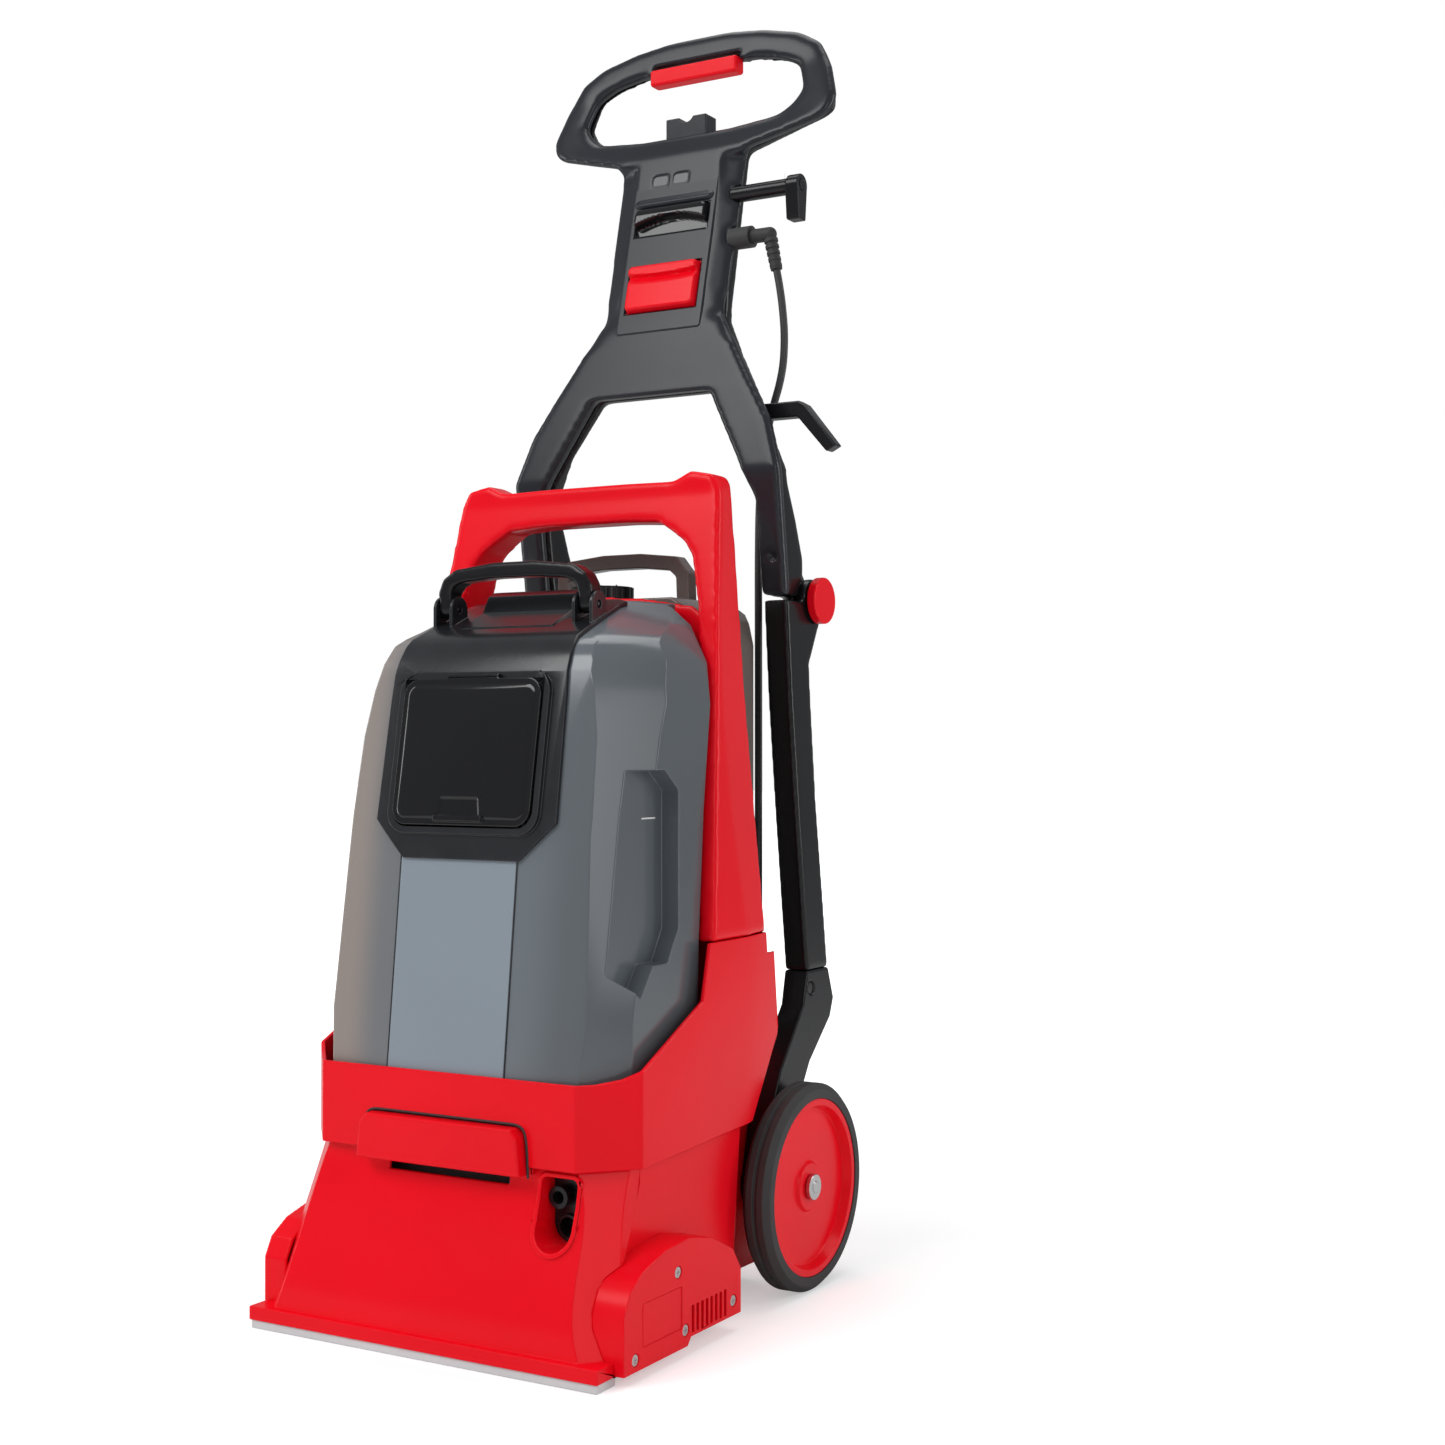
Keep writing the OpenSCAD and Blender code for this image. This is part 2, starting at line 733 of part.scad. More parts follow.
module wheel_axle() color("silver") placed() {
    rod_x(wheel_at, axle_r, -wheel_face_x + 5, wheel_face_x - 5);
    both() {
        rod_x(wheel_at, axle_r + 3, wheel_face_x - 5, wheel_face_x - 1);
        rod_x(wheel_at, axle_r - 3, wheel_face_x - 1.5, wheel_face_x - 0.2);
    }
}

module tyre() difference() {
    rotate([0, 90, 0]) rotate_extrude($fn = 96) polygon([
        [wheel_r - tyre_h, wheel_back_x], [wheel_r - 5, wheel_back_x], [wheel_r, wheel_back_x + 5],
        [wheel_r, wheel_back_x + tyre_w / 2 - 2], [wheel_r - 2, wheel_back_x + tyre_w / 2 - 1],
        [wheel_r - 2, wheel_back_x + tyre_w / 2 + 1], [wheel_r, wheel_back_x + tyre_w / 2 + 2],
        [wheel_r, wheel_face_x - 5], [wheel_r - 5, wheel_face_x], [wheel_r - tyre_h, wheel_face_x]
    ]);
}

module rim() difference() {
    rotate([0, 90, 0]) rotate_extrude($fn = 96) polygon([
        [axle_r + run_fit, wheel_back_x - 5], [20, wheel_back_x - 5], [20, wheel_back_x + 8],
        [wheel_r - tyre_h - 5, wheel_back_x + 8], [wheel_r - tyre_h - 5, wheel_back_x + 2],
        [wheel_r - tyre_h, wheel_back_x + 2], [wheel_r - tyre_h, wheel_face_x - 1],
        [wheel_r - tyre_h - 6, wheel_face_x - 1], [wheel_r - tyre_h - 9, wheel_face_x - 9],
        [22, wheel_face_x - 9], [20, wheel_face_x - 6], [axle_r + run_fit, wheel_face_x - 6]
    ]);
}

module at_wheel() placed() translate([0, wheel_at[0], wheel_at[1]]) children();

module tyre_right() color([0.1, 0.1, 0.11]) at_wheel() tyre();
module tyre_left() color([0.1, 0.1, 0.11]) at_wheel() mirror([1, 0, 0]) tyre();
module wheel_rim_right() color("crimson") at_wheel() rim();
module wheel_rim_left() color("crimson") at_wheel() mirror([1, 0, 0]) rim();

leg_seam_z = 268;                            // joint of the leg and its bracket
bracket_screw_at = [392, 252];

module leg_bracket() difference() {
    union() {
        across(leg_in_x, leg_out_x) polygon([
            [385, leg_seam_z], [426, leg_seam_z], [437, 239], [430, 222], [390, 186], [366, 150],
            [wheel_at[0] + 26, wheel_at[1]], [wheel_at[0] - 26, wheel_at[1]], [318, 150],
            [housing_rear_y, 186], [378, 238]
        ]);
        rod_x(wheel_at, 26, leg_in_x, leg_out_x);
    }
    rod_x(wheel_at, axle_r + snug, leg_in_x - 1, leg_out_x + 1);
    rod_x(bracket_screw_at, 5.5, leg_out_x - 4, leg_out_x + 1);
}

module leg_bracket_right() color([0.1, 0.1, 0.11]) placed() leg_bracket();
module leg_bracket_left() color([0.1, 0.1, 0.11]) placed() mirror([1, 0, 0]) leg_bracket();

lug_face_x = lug_split_x + 0.3;              // inner face of the outer lug

module leg_side() polygon([
    [385, leg_seam_z], [376, 333], [364, 422], [353, 511], [345, hinge_z - 1.5],
    [388, hinge_z - 1.5], [389, 557], [393, 512], [403, 421], [417, 330], [426, leg_seam_z]
]);

// A lower leg ends in the outer half of the folding hinge.
module lower_leg() difference() {
    union() {
        across(lug_face_x, leg_out_x) {
            leg_side();
            translate(hinge_at) circle(lug_r);
            polygon([
                [388, 540], hinge_at + (lug_r - 1) * [cos(20), -sin(20)],
                [388, hinge_z - 2]
            ]);
        }
        across(leg_in_x, lug_face_x + 1) difference() {
            leg_side();
            translate(hinge_at) circle(lug_r + gap);
        }
    }
    rod_x(hinge_at, pin_r + run_fit, leg_in_x - 1, leg_out_x + 1);
}

module lower_leg_right() color([0.08, 0.08, 0.09]) placed() lower_leg();
module lower_leg_left() color([0.08, 0.08, 0.09]) placed() mirror([1, 0, 0]) lower_leg();

module leg_screws() color("dimgray") placed() both()
    rod_x(bracket_screw_at, 4.8, leg_out_x - 4, leg_out_x - 1.5);

// ---- recovery tank -----------------------------------------------------------------

half_tank = tank_w / 2;
tank_flat_x = 60;                            // half width of the flat front
tank_turn = 4.2;                             // the front turns back beyond it
tank_chamfer = 38.1;                         // turn of the wide corner facets

// Distance of a corner facet from the axis, at each height.
tank_facet = [
    [66.6, 257], [58.1, 345], [51.1, 415], [42.4, 479], [33.8, 517], [26.4, 539], [17.8, 554],
    [8, 561], [-3.9, 567], [-21, 577], [-60, 592]
];

// The port door lies in its own plane on the front panel.
door_at_z = 466;
door_lean = atan((83.2 - 61.5) / (530 - 400));
door_y = 61.5 + (door_at_z - 400) * tan(door_lean);
door_hinge_z = door_h / 2 + 2;               // above the door's middle

// Keeps what lies behind the tank's front face.
module tank_front(i) {
    across(-big, big) polygon(concat(
        [[tank_face[0][0] + i, tank_floor_z - 10]],
        [for (p = tank_face) let (f = p[1] > 545 ? 0.4 : 1) [p[0] + i * f, p[1] - i * sqrt(1 - f * f)]],
        [[big, 593 - i], [big, tank_floor_z - 10]]
    ));
}

// Keeps what lies inside the wide facet of one front corner.
module tank_corner(i) {
    rotate([0, 0, -tank_chamfer]) along(-big, big) polygon(concat(
        [[-big, tank_floor_z - 10], [tank_facet[0][0] - i, tank_floor_z - 10]],
        [for (p = tank_facet) let (f = p[1] > 560 ? 0.4 : 1) [p[0] - i * f, p[1] - i * sqrt(1 - f * f)]],
        [[-big, 592 - i]]
    ));
}

module turned_front(i) {
    translate([tank_flat_x, tank_face[0][0], 0]) rotate([0, 0, tank_turn])
        translate([-tank_flat_x, -tank_face[0][0], 0]) tank_front(i);
}

// The tank's outer form, or with an inset its hollow. The wide front part
// ends before the columns of the carry frame and a narrow part passes
// between them.
module tank_form(i) {
    intersection() {
        tank_front(i);
        turned_front(i);
        mirror([1, 0, 0]) turned_front(i);
        tank_corner(i);
        mirror([1, 0, 0]) tank_corner(i);
        union() {
            across(-big, big) polygon([
                [0, tank_floor_z + i], [176 - i, tank_floor_z + i],
                [frame_steps[0][2] - 4 - i, frame_seam_z],
                [frame_steps[1][2] - 4 - i, 420], [frame_steps[2][2] - 4 - i, 510],
                [frame_steps[3][2] - 5 - i, 584], [frame_steps[3][2] - 5 - i, 640], [0, 640]
            ]);
            across(-100 + i, 100 - i) polygon([
                [100, tank_floor_z + i], [222 - i, tank_floor_z + i], [222 - i, 640], [100, 640]
            ]);
        }
        along(0, big) polygon(closed([
            [half_tank - 2 - i, tank_floor_z + i], [half_tank - i, 230], [half_tank - i, 505],
            [half_tank - 6 - i, 540], [half_tank - 24 - i, 571 - i / 2], [100 - i, tank_top_z - i],
            [60, 594 - i]
        ]));
    }
}

// The opening under the lid and the seat of the hose port.
lid_open = [[-62, 120], [62, 172]];
port_ring_r = hose_bore_r + 6;
cage_at = [0, 146];

module recovery_tank() color([0.45, 0.48, 0.52, 0.6]) placed() {
    difference() {
        tank_form(0);
        tank_form(tank_wall);
        block([lid_open[0][0], lid_open[0][1], 545], [lid_open[1][0], lid_open[1][1], 620]);
        rod_y([0, door_at_z], port_ring_r + snug, 0, 110);
        translate([0, air_duct_y, tank_floor_z - 1]) cylinder(h = 20, r = air_duct_r);
        both() hand_pocket(0);
    }
    difference() {
        intersection() {
            both() hand_pocket(tank_wall);
            tank_form(0);
        }
        both() hand_pocket(0);
    }
}

// A hand pocket in the side, grown by g.
module hand_pocket(g) {
    across(half_tank - 16 - g, half_tank + 10) polygon([
        [66 - g, 296 - g], [66 - g, 440 + g / 2], [78, 452 + g], [128, 452 + g],
        [148 + g, 436], [148 + g, 326], [132 + g, 300 - g / 2], [110, 300 - g], [92, 276 - g]
    ]);
}

bail_at = [136, 586];                        // pivot of the carrying handle
bail_rise = 31;
bail_t = 13;
half_bail = bail_w / 2 + 6;                  // outer face of its legs

// The dark panel over the tank's front and top.
module tank_shroud() color([0.25, 0.26, 0.28]) placed() {
    difference() {
        union() {
            intersection() {
                tank_form(-shroud_t);
                along(0, 178) polygon(closed([
                    [57, 381], [89, 411], [88, 460], [87, 509], [85.5, 540], [84, 556], [82, 566],
                    [81, 577], [80, 620]
                ]));
            }
            // Raised rim of the port door.
            at_door() rotate([90, 0, 0]) translate([0, 0, -2]) linear_extrude(5) difference() {
                round_rect(door_w + 13, door_h + 13, 18);
                round_rect(door_w + 2 * gap, door_h + 2 * gap, 14);
            }
            // Raised back of the lid.
            across(-46, 46) polygon([
                [119, 560], [119, 569], [148, 583], [156, 597], [164, 601], [173, 602], [178, 592],
                [178, 570]
            ]);
        }
        tank_form(-0.02);
        rod_y([0, door_at_z], port_ring_r + snug, 0, 110);
        // Room for the door's hinge.
        at_door() translate([-door_w / 2 - gap, -20, door_h / 2 - 3]) cube([door_w + 2 * gap, 20.3, 11]);
    }
    both() bail_foot();
}

// Two cheeks on the panel that hold one leg of the handle.
module bail_foot() {
    cheek = 3;
    for (x = [half_bail + gap, half_bail - bail_t - gap - cheek]) difference() {
        union() {
            rod_x(bail_at, 11, x, x + cheek);
            across(x, x + cheek) polygon([[125, 568.6], [125, bail_at[1]], [147, bail_at[1]], [147, 578]]);
        }
        rod_x(bail_at, 3 + run_fit, x - 1, x + cheek + 1);
    }
}

// The carrying handle, which swings on its two feet.
module tank_handle() color([0.09, 0.09, 0.1]) placed() {
    bar_z = bail_at[1] + bail_rise;
    both() {
        rod_x(bail_at, 7.5, half_bail - bail_t, half_bail);
        rod_x(bail_at, 3, half_bail - bail_t - 3.5, half_bail + 3.5);
    }
    intersection() {
        across(-half_bail, half_bail) polygon([
            [bail_at[0] - 7.5, bail_at[1]], [bail_at[0] - 10, bar_z - 8], [bail_at[0] - 8, bar_z + 7],
            [bail_at[0] + 8, bar_z + 7], [bail_at[0] + 10, bar_z - 8], [bail_at[0] + 7.5, bail_at[1]]
        ]);
        along(0, big) difference() {
            polygon(closed([
                [half_bail, bail_at[1]], [half_bail, bar_z - 16], [half_bail - 6, bar_z - 5],
                [half_bail - 17, bar_z + 2], [20, bar_z + 6.5]
            ]));
            polygon(closed([
                [half_bail - bail_t, bail_at[1] - 1], [half_bail - bail_t, bar_z - 18],
                [half_bail - bail_t - 4, bar_z - 12], [half_bail - bail_t - 12, bar_z - 9],
                [20, bar_z - 6.5]
            ]));
        }
    }
}

// The ring that takes the vacuum hose's end, behind the door.
module hose_port() color([0.12, 0.12, 0.13]) placed() difference() {
    union() {
        rod_y([0, door_at_z], port_ring_r, door_y + 1.5, door_y + 24);
        rod_y([0, door_at_z], port_ring_r + 5, door_y + 9, door_y + 12);
    }
    rod_y([0, door_at_z], hose_bore_r, 0, 200);
}

// The door's frame: its plane leans with the front panel.
module at_door() {
    translate([0, door_y - shroud_t, door_at_z]) rotate([-door_lean, 0, 0]) children();
}

module port_door() color([0.04, 0.04, 0.05]) placed() at_door() {
    door_t = 5;
    rotate([90, 0, 0]) translate([0, 0, 0.4]) linear_extrude(door_t) round_rect(door_w, door_h, 14);
    // Hinge barrel over the top edge.
    translate([0, -door_t / 2, door_hinge_z]) rotate([0, 90, 0]) cylinder(h = 50, r = 2.4, center = true);
    translate([-25, -0.4 - door_t, door_h / 2 - 4]) cube([50, door_t - 1, door_hinge_z - door_h / 2 + 3]);
    // Finger tab.
    translate([-24, -door_t - 3.5, -door_h / 2 + 3]) cube([48, 4, 5]);
}

// The cage of the float that shuts the air way, hung under the lid.
module float_cage() color("white") placed() difference() {
    intersection() {
        translate([cage_at[0], cage_at[1], 480]) cylinder(h = 130, r = 23);
        tank_form(0);
        block([-big, lid_open[0][1] + 2, 0], [big, lid_open[1][1] - 2, big]);
    }
    translate([cage_at[0], cage_at[1], 483]) cylinder(h = 72, r = 20);
    translate([cage_at[0], cage_at[1], 470]) cylinder(h = 20, r = 12);
    translate([cage_at[0], cage_at[1], 550]) cylinder(h = 60, r = 14);
    for (a = [0, 60, 120]) translate([cage_at[0], cage_at[1], 0]) rotate([0, 0, a])
        translate([-30, -7, 490]) cube([60, 14, 45]);
}

module float_ball() color("orange") placed()
    translate([cage_at[0], cage_at[1], 502]) sphere(r = 18, $fn = 40);

// ---- solution tank ---------------------------------------------------------------------

half_clean = clean_w / 2;
clean_y0 = partition_y + wall + 6;
clean_y1 = clean_y0 + clean_d;
clean_z0 = rear_deck_z + 1;
clean_top_z = 598;
clean_grip_y = 300;
cap_at = [-6, clean_y0 + 30];

module clean_form(i) {
    intersection() {
        translate([0, 0, clean_z0 + i]) linear_extrude(clean_top_z - clean_z0 - 2 * i) polygon(closed([
            [half_clean - 22, clean_y0 + i], [half_clean - i, clean_y0 + 18 + i / 2],
            [half_clean - i, clean_y1 - 10 - i / 2], [half_clean - 10 - i / 2, clean_y1 - i]
        ]));
        along(0, big) polygon(closed([
            [half_clean - 14 - i, clean_z0 - 1], [half_clean - i, clean_z0 + 30],
            [half_clean - i, 560], [half_clean - 14 - i, 588], [half_clean - 30 - i, clean_top_z + 1]
        ]));
    }
}

module solution_tank() color([0.5, 0.42, 0.38, 0.6]) placed() {
    difference() {
        union() {
            clean_form(0);
            translate([cap_at[0], cap_at[1], clean_top_z - 1]) cylinder(h = 11, r = cap_r - 3);
        }
        clean_form(tank_wall);
        translate([cap_at[0], cap_at[1], clean_top_z - 10]) cylinder(h = 30, r = cap_r - 6);
        translate([0, valve_y, clean_z0 - 1]) cylinder(h = 10, r = 6 + run_fit);
    }
    // Valve boss.
    translate([0, valve_y, clean_z0 + tank_wall - 0.5]) difference() {
        cylinder(h = 18, r = 11);
        translate([0, 0, -1]) cylinder(h = 20, r = 6 + run_fit);
    }
    // Carrying loop.
    along(clean_grip_y - 8, clean_grip_y + 8) difference() {
        polygon(closed([[70, clean_top_z - 1], [69, 624], [58, 638], [20, 642]]));
        polygon(closed([[58, clean_top_z - 2], [57, 620], [50, 626], [20, 629]]));
    }
}

module solution_cap() color([0.07, 0.07, 0.08]) placed()
    translate([cap_at[0], cap_at[1], clean_top_z + 0.3]) difference() {
        union() {
            cylinder(h = 13, r = cap_r);
            for (a = [0:15:345]) rotate([0, 0, a]) translate([cap_r - 1, 0, 0]) cylinder(h = 12, r = 1.6);
        }
        translate([0, 0, -1]) cylinder(h = 11.5, r = cap_r - 3 + run_fit);
    }

module valve_plunger() color("white") placed() translate([0, valve_y, clean_z0]) {
    translate([0, 0, -7]) cylinder(h = tank_wall + 26, r = 6);
    translate([0, 0, tank_wall + 18]) cylinder(h = 3, r = 10);
}

// ---- upper handle --------------------------------------------------------------------------

half_mast = mast_w / 2;
half_loop = loop_w / 2;
leg_top_z = 716;                             // the handle leaves its legs here

// The handle is drawn with a rise of 434 over its legs and a reach of 442 to the back.
// Its places over the legs move with the machine's own height and depth, in proportion
// to their height in that drawing.
stretch = (machine_h - leg_top_z) / 434;
function share(z) = max(0, (z - leg_top_z) / 434);
function raised(z) = z + share(z) * 434 * (stretch - 1);
function leant(y, z) = y + share(z) * (machine_d - 442);
function moved(list) = [for (p = list) [leant(p[0], p[1]), raised(p[1])]];

cross_z = raised(792);                       // underside of the bar between the legs
loop_low_z = raised(1049);
top = machine_h;

// Depth of the handle's front face at each height.
handle_face = moved([
    [340, hinge_z + 2], [323, leg_top_z], [338, 793], [362, 891], [375, 942], [386, 992],
    [392, 1027], [402, 1050], [419, 1103], [427, 1151]
]);

// Depth of its back at each height.
handle_back = concat(moved([
    [388, hinge_z + 2], [388, 640], [375, 673], [358, 707], [352, 741], [366, 793], [386, 862],
    [397, 902], [410, 970], [418, 1014], [426, 1050], [436, 1103]
]), [[machine_d, top - 5], [machine_d, top + 1]]);
function reversed(list) = [for (i = [len(list) - 1:-1:0]) list[i]];
function deeper(list, d) = [for (p = list) [p[0] + d, p[1]]];

// Sunk screw holes in the feet of the front shell, as [X, Z], and their floor.
leg_screw_at = [leg_out_x - 10, hinge_z + 36];
leg_screw_y = 341;

// The front shell of the handle, and the rear shell behind it.
module front_band() across(-big, big)
    polygon(concat(handle_face, reversed(deeper(handle_face, front_shell_d))));
module rear_band() across(-big, big)
    polygon(concat(deeper(handle_face, front_shell_d), reversed(deeper(handle_back, rear_extra))));

// Front view of the handle; i draws in its outer edges.
module handle_outline(i) {
    difference() {
        polygon(closed([
            [leg_out_x + 1 - i, hinge_z], [leg_out_x + 2 - i, leg_top_z], [127 - i, raised(761)],
            [87 - i, raised(827)], [half_mast + 0.5 - i, raised(862)],
            [half_mast - 2 - i, raised(900)], [half_mast - i, raised(992)],
            [half_mast + 1 - i, raised(1024)], [half_loop - 13, raised(1043) + i],
            [half_loop - 3 - i / 2, raised(1052) + i / 2], [half_loop - i, raised(1064)],
            [half_loop - 10 - i, raised(1096)], [half_loop - 24 - i, top - 28 - i / 2],
            [half_loop - 48, top - 14 - i], [70, top - 5 - i], [30, top - i]
        ]));
        // Between the legs.
        polygon(closed([
            [leg_in_x, hinge_z - 1], [leg_in_x, 690], [100, raised(723)], [84, raised(752)],
            [62, cross_z]
        ]));
        // The grip loop.
        polygon(closed([
            [50, loop_low_z], [98, raised(1054)], [112, raised(1064)], [119, raised(1076)],
            [111, top - 49], [92, top - 39], [60, top - 33], [25, top - 30]
        ]));
    }
}

module handle_front() color([0.37, 0.385, 0.41]) placed() difference() {
    intersection() {
        front_band();
        along(0, big) handle_outline(0);
    }
    rod_x(hinge_at, lug_r + gap, -big, big);
    both() rod_y(leg_screw_at, 4.5, 0, leg_screw_y);
    // Places of the two rockers.
    rocker_room(power_z, power_size);
    rocker_room(mode_z, mode_size);
    for (x = lens_x) on_mast(lens_z) translate([x, 0, 0]) rotate([90, 0, 0])
        linear_extrude(40, center = true) round_rect(15.2, 9.2, 2.5);
    trigger_form(gap);
    mast_fittings(snug);
    // Side facets of the mast.
    both() on_mast(940) translate([46, 0, -78 * stretch]) rotate([0, 0, 19])
        translate([0, -20, 0]) cube([60, 20, 160 * stretch]);
}

module handle_rear() color([0.07, 0.07, 0.08]) placed() difference() {
    union() {
        intersection() {
            rear_band();
            along(0, big) handle_outline(6);
        }
        // Inner halves of the folding hinge.
        both() {
            rod_x(hinge_at, lug_r, leg_in_x + 0.3, lug_split_x - 0.3);
            across(leg_in_x + 0.3, lug_split_x - 0.3) polygon([
                [372, hinge_z + 2], hinge_at + (lug_r - 1) * [cos(25), sin(25)],
                [373, hinge_z + 62], [365, hinge_z + 60]
            ]);
        }
    }
    both() rod_x(hinge_at, lug_r + gap, lug_split_x - 0.3, big);
    both() rod_x(hinge_at, pin_r + run_fit, leg_in_x - 1, big);
    // Hollow of the mast.
    on_mast(930) translate([-half_mast + 14, front_shell_d - 4, -65 * stretch])
        cube([mast_w - 28, 14, 140 * stretch]);
    trigger_form(gap);
    mast_fittings(snug);
}

// The mast's front plane, at the place drawn at height z.
drawn_slope = tan(13.7);
mast_lean = atan((drawn_slope + (machine_d - 442) / 434) / stretch);
module on_mast(z) translate([0, leant(362 + (z - 891) * drawn_slope, z), raised(z)])
    rotate([-mast_lean, 0, 0]) children();

lens_z = 1003;
lens_x = [-18, 4];
power_z = 896;
power_size = [76, 46];
mode_z = 962;
mode_size = [78, 26];

module status_lenses() color([0.8, 0.83, 0.85]) placed() for (x = lens_x)
    on_mast(lens_z) translate([x, 0, 0]) rotate([90, 0, 0]) translate([0, 0, -8])
        linear_extrude(9) round_rect(15, 9, 2.5);

// The grey rest for the hose on top of the mast.
module hose_rest() color([0.42, 0.43, 0.45]) placed() difference() {
    block([-22, leant(404, 1053), loop_low_z + 4], [22, leant(424, 1053), loop_low_z + 17]);
    rod_y([0, loop_low_z + 20], 8, 0, big);
}

// A rocker turns a few degrees about stub pins along X, inside the shell.
rocker_axis_d = 5;
rocker_back_d = 10;
rocker_gap = 1.2;
rocker_pin_r = 2.5;
rocker_pin_l = 4;

module rocker(z, size, front) on_mast(z) {
    difference() {
        rotate([90, 0, 0]) translate([0, 0, -rocker_back_d])
            linear_extrude(rocker_back_d - front) round_rect(size[0], size[1], 4);
        // Finger groove.
        translate([0, front - 2, size[1] / 2 - 11]) rotate([0, 90, 0])
            cylinder(h = size[0] - 12, r = 5, center = true);
    }
    translate([0, rocker_axis_d, 0]) rotate([0, 90, 0])
        cylinder(h = size[0] + 2 * rocker_pin_l, r = rocker_pin_r, center = true);
}

module rocker_room(z, size) on_mast(z) {
    rotate([90, 0, 0]) linear_extrude(60, center = true)
        round_rect(size[0] + 2 * gap, size[1] + 2 * rocker_gap, 5);
    translate([0, rocker_axis_d, 0]) rotate([0, 90, 0])
        cylinder(h = size[0] + 2 * rocker_pin_l + 1, r = rocker_pin_r + run_fit, center = true);
}

module power_switch() color([0.95, 0.08, 0.15]) placed() rocker(power_z, power_size, -6);
module mode_lever() color([0.05, 0.05, 0.05]) placed() rocker(mode_z, mode_size, 2);

// The squeeze trigger under the loop's top bar; with a gap, its room.
module trigger_form(g) {
    half = 48;
    low = top - 45;
    front = leant(416, 1105);
    block([-half - g, front - g, low],
        [half + g, front + 16 + g, low + 16 + (g > 0 ? trigger_travel + g : 0)]);
}

module trigger() color([0.95, 0.08, 0.15]) placed() trigger_form(0);

// ---- hooks, strain relief and knobs ------------------------------------------------------------

hook_at = [leant(394, 981), raised(981)];
swivel_x = [half_mast + 49, half_mast + 62];
hook_pin_r = 5;
relief_at = [leant(387, 938), raised(938)];
low_hook_y = [leant(366, 765), leant(379, 765)];
low_hook_z = [raised(765), raised(765) + 14.5];

// What the mast and a leg hold in sockets, grown by g.
module mast_fittings(g) {
    rod_x(hook_at, 7.5 + g, half_mast - 10 - g, swivel_x[0] - 0.3);
    rod_x(relief_at, 10 + g, half_mast - 8 - g, half_mast + 14);
    along(low_hook_y[0] - g, low_hook_y[1] + g) low_hook_outline(g);
}

module low_hook_outline(g) {
    polygon([
        [95, low_hook_z[0] - g], [139, low_hook_z[0] - g], [168, low_hook_z[0] - 33],
        [178, low_hook_z[0] - 28], [147, low_hook_z[1] - 4], [140, low_hook_z[1] + g],
        [95, low_hook_z[1] + g]
    ]);
}

module lower_hook() color([0.2, 0.205, 0.22]) placed()
    along(low_hook_y[0], low_hook_y[1]) low_hook_outline(0);

module upper_hook_arm() color([0.2, 0.205, 0.22]) placed() {
    rod_x(hook_at, 7.5, half_mast - 10, swivel_x[0] - 0.3);
    rod_x(hook_at, hook_pin_r, swivel_x[0] - 1, swivel_x[1] + 0.5);
}

// The turning end of the cord hook, which lets the wound cord drop.
module hook_swivel() color([0.18, 0.18, 0.2]) placed() difference() {
    union() {
        rod_x(hook_at, 10, swivel_x[0], swivel_x[1]);
        across(swivel_x[0], swivel_x[1]) polygon([
            [hook_at[0] - 10, hook_at[1]], [hook_at[0] + 10, hook_at[1]],
            [hook_at[0] + 7, hook_at[1] - 32], [hook_at[0] - 7, hook_at[1] - 32]
        ]);
    }
    rod_x(hook_at, hook_pin_r + run_fit, swivel_x[0] - 1, swivel_x[1] + 1);
}

// Collar and ribbed boot where the cord leaves the mast.
boot_bend_x = half_mast + 32;
boot_len = 34;
module strain_relief() color([0.16, 0.16, 0.17]) placed() {
    rod_x(relief_at, 10, half_mast - 8, half_mast + 14);
    rod_x(relief_at, 6.5, half_mast + 13, boot_bend_x);
    translate([boot_bend_x, relief_at[0], relief_at[1]]) {
        sphere(r = 6.5);
        rotate([0, 168, 0]) {
            cylinder(h = boot_len, r = 5.4);
            for (i = [0:4]) translate([0, 0, 5 + i * 6]) cylinder(h = 3, r = 6.5 - i * 0.2);
        }
    }
}

module knob() {
    rod_x(hinge_at, knob_r, leg_out_x + 2, leg_out_x + 10);
    rod_x(hinge_at, knob_r - 5, leg_out_x + 0.3, leg_out_x + 3);
    rod_x(hinge_at, pin_r, leg_in_x + 1, leg_out_x + 1);
}

module knob_right() color("crimson") placed() knob();
module knob_left() color("crimson") placed() mirror([1, 0, 0]) knob();

// ---- cord -------------------------------------------------------------------------------------------

coil_at = [-20, 440];
coil_mean_r = 8 * cord_d;

// The cord's way from the strain relief to the coil, as [X, Y, Z].
cord_path = [
    [boot_bend_x + 7.1, relief_at[0], relief_at[1] - 33.4],
    for (p = [
        [110, 387, 890], [113, 387, 870], [115, 387, 845], [114, 387, 820], [110, 387, 800],
        [103, 388, 780], [96, 389, 755], [91, 389, 725], [88, 389, 690]
    ]) [p[0], leant(p[1], p[2]), raised(p[2])],
    [87, 389, 640], [87, 389, 580], [87, 389, 500], [87, 389, 420], [87, 389, 340],
    [87, 389, 260], [87, 389, 180], [87, 389, 110], [86, 389, 70], [84, 390, 42],
    [80, 394, 22], [75, 402, 9], [69, 414, 4], [62, 427, 3.5], [57, 440, 3.5]
];

function unit(v) = v / norm(v);
function heading(path, i) = unit(path[min(i + 1, len(path) - 1)] - path[max(i - 1, 0)]);
function ring(path, i, r, sides) = let (
    t = heading(path, i),
    u = unit(cross(t, [0.3, 0.95, 0.05])),
    v = cross(t, u)
) [for (k = [0:sides - 1]) path[i] + r * (cos(360 * k / sides) * u + sin(360 * k / sides) * v)];

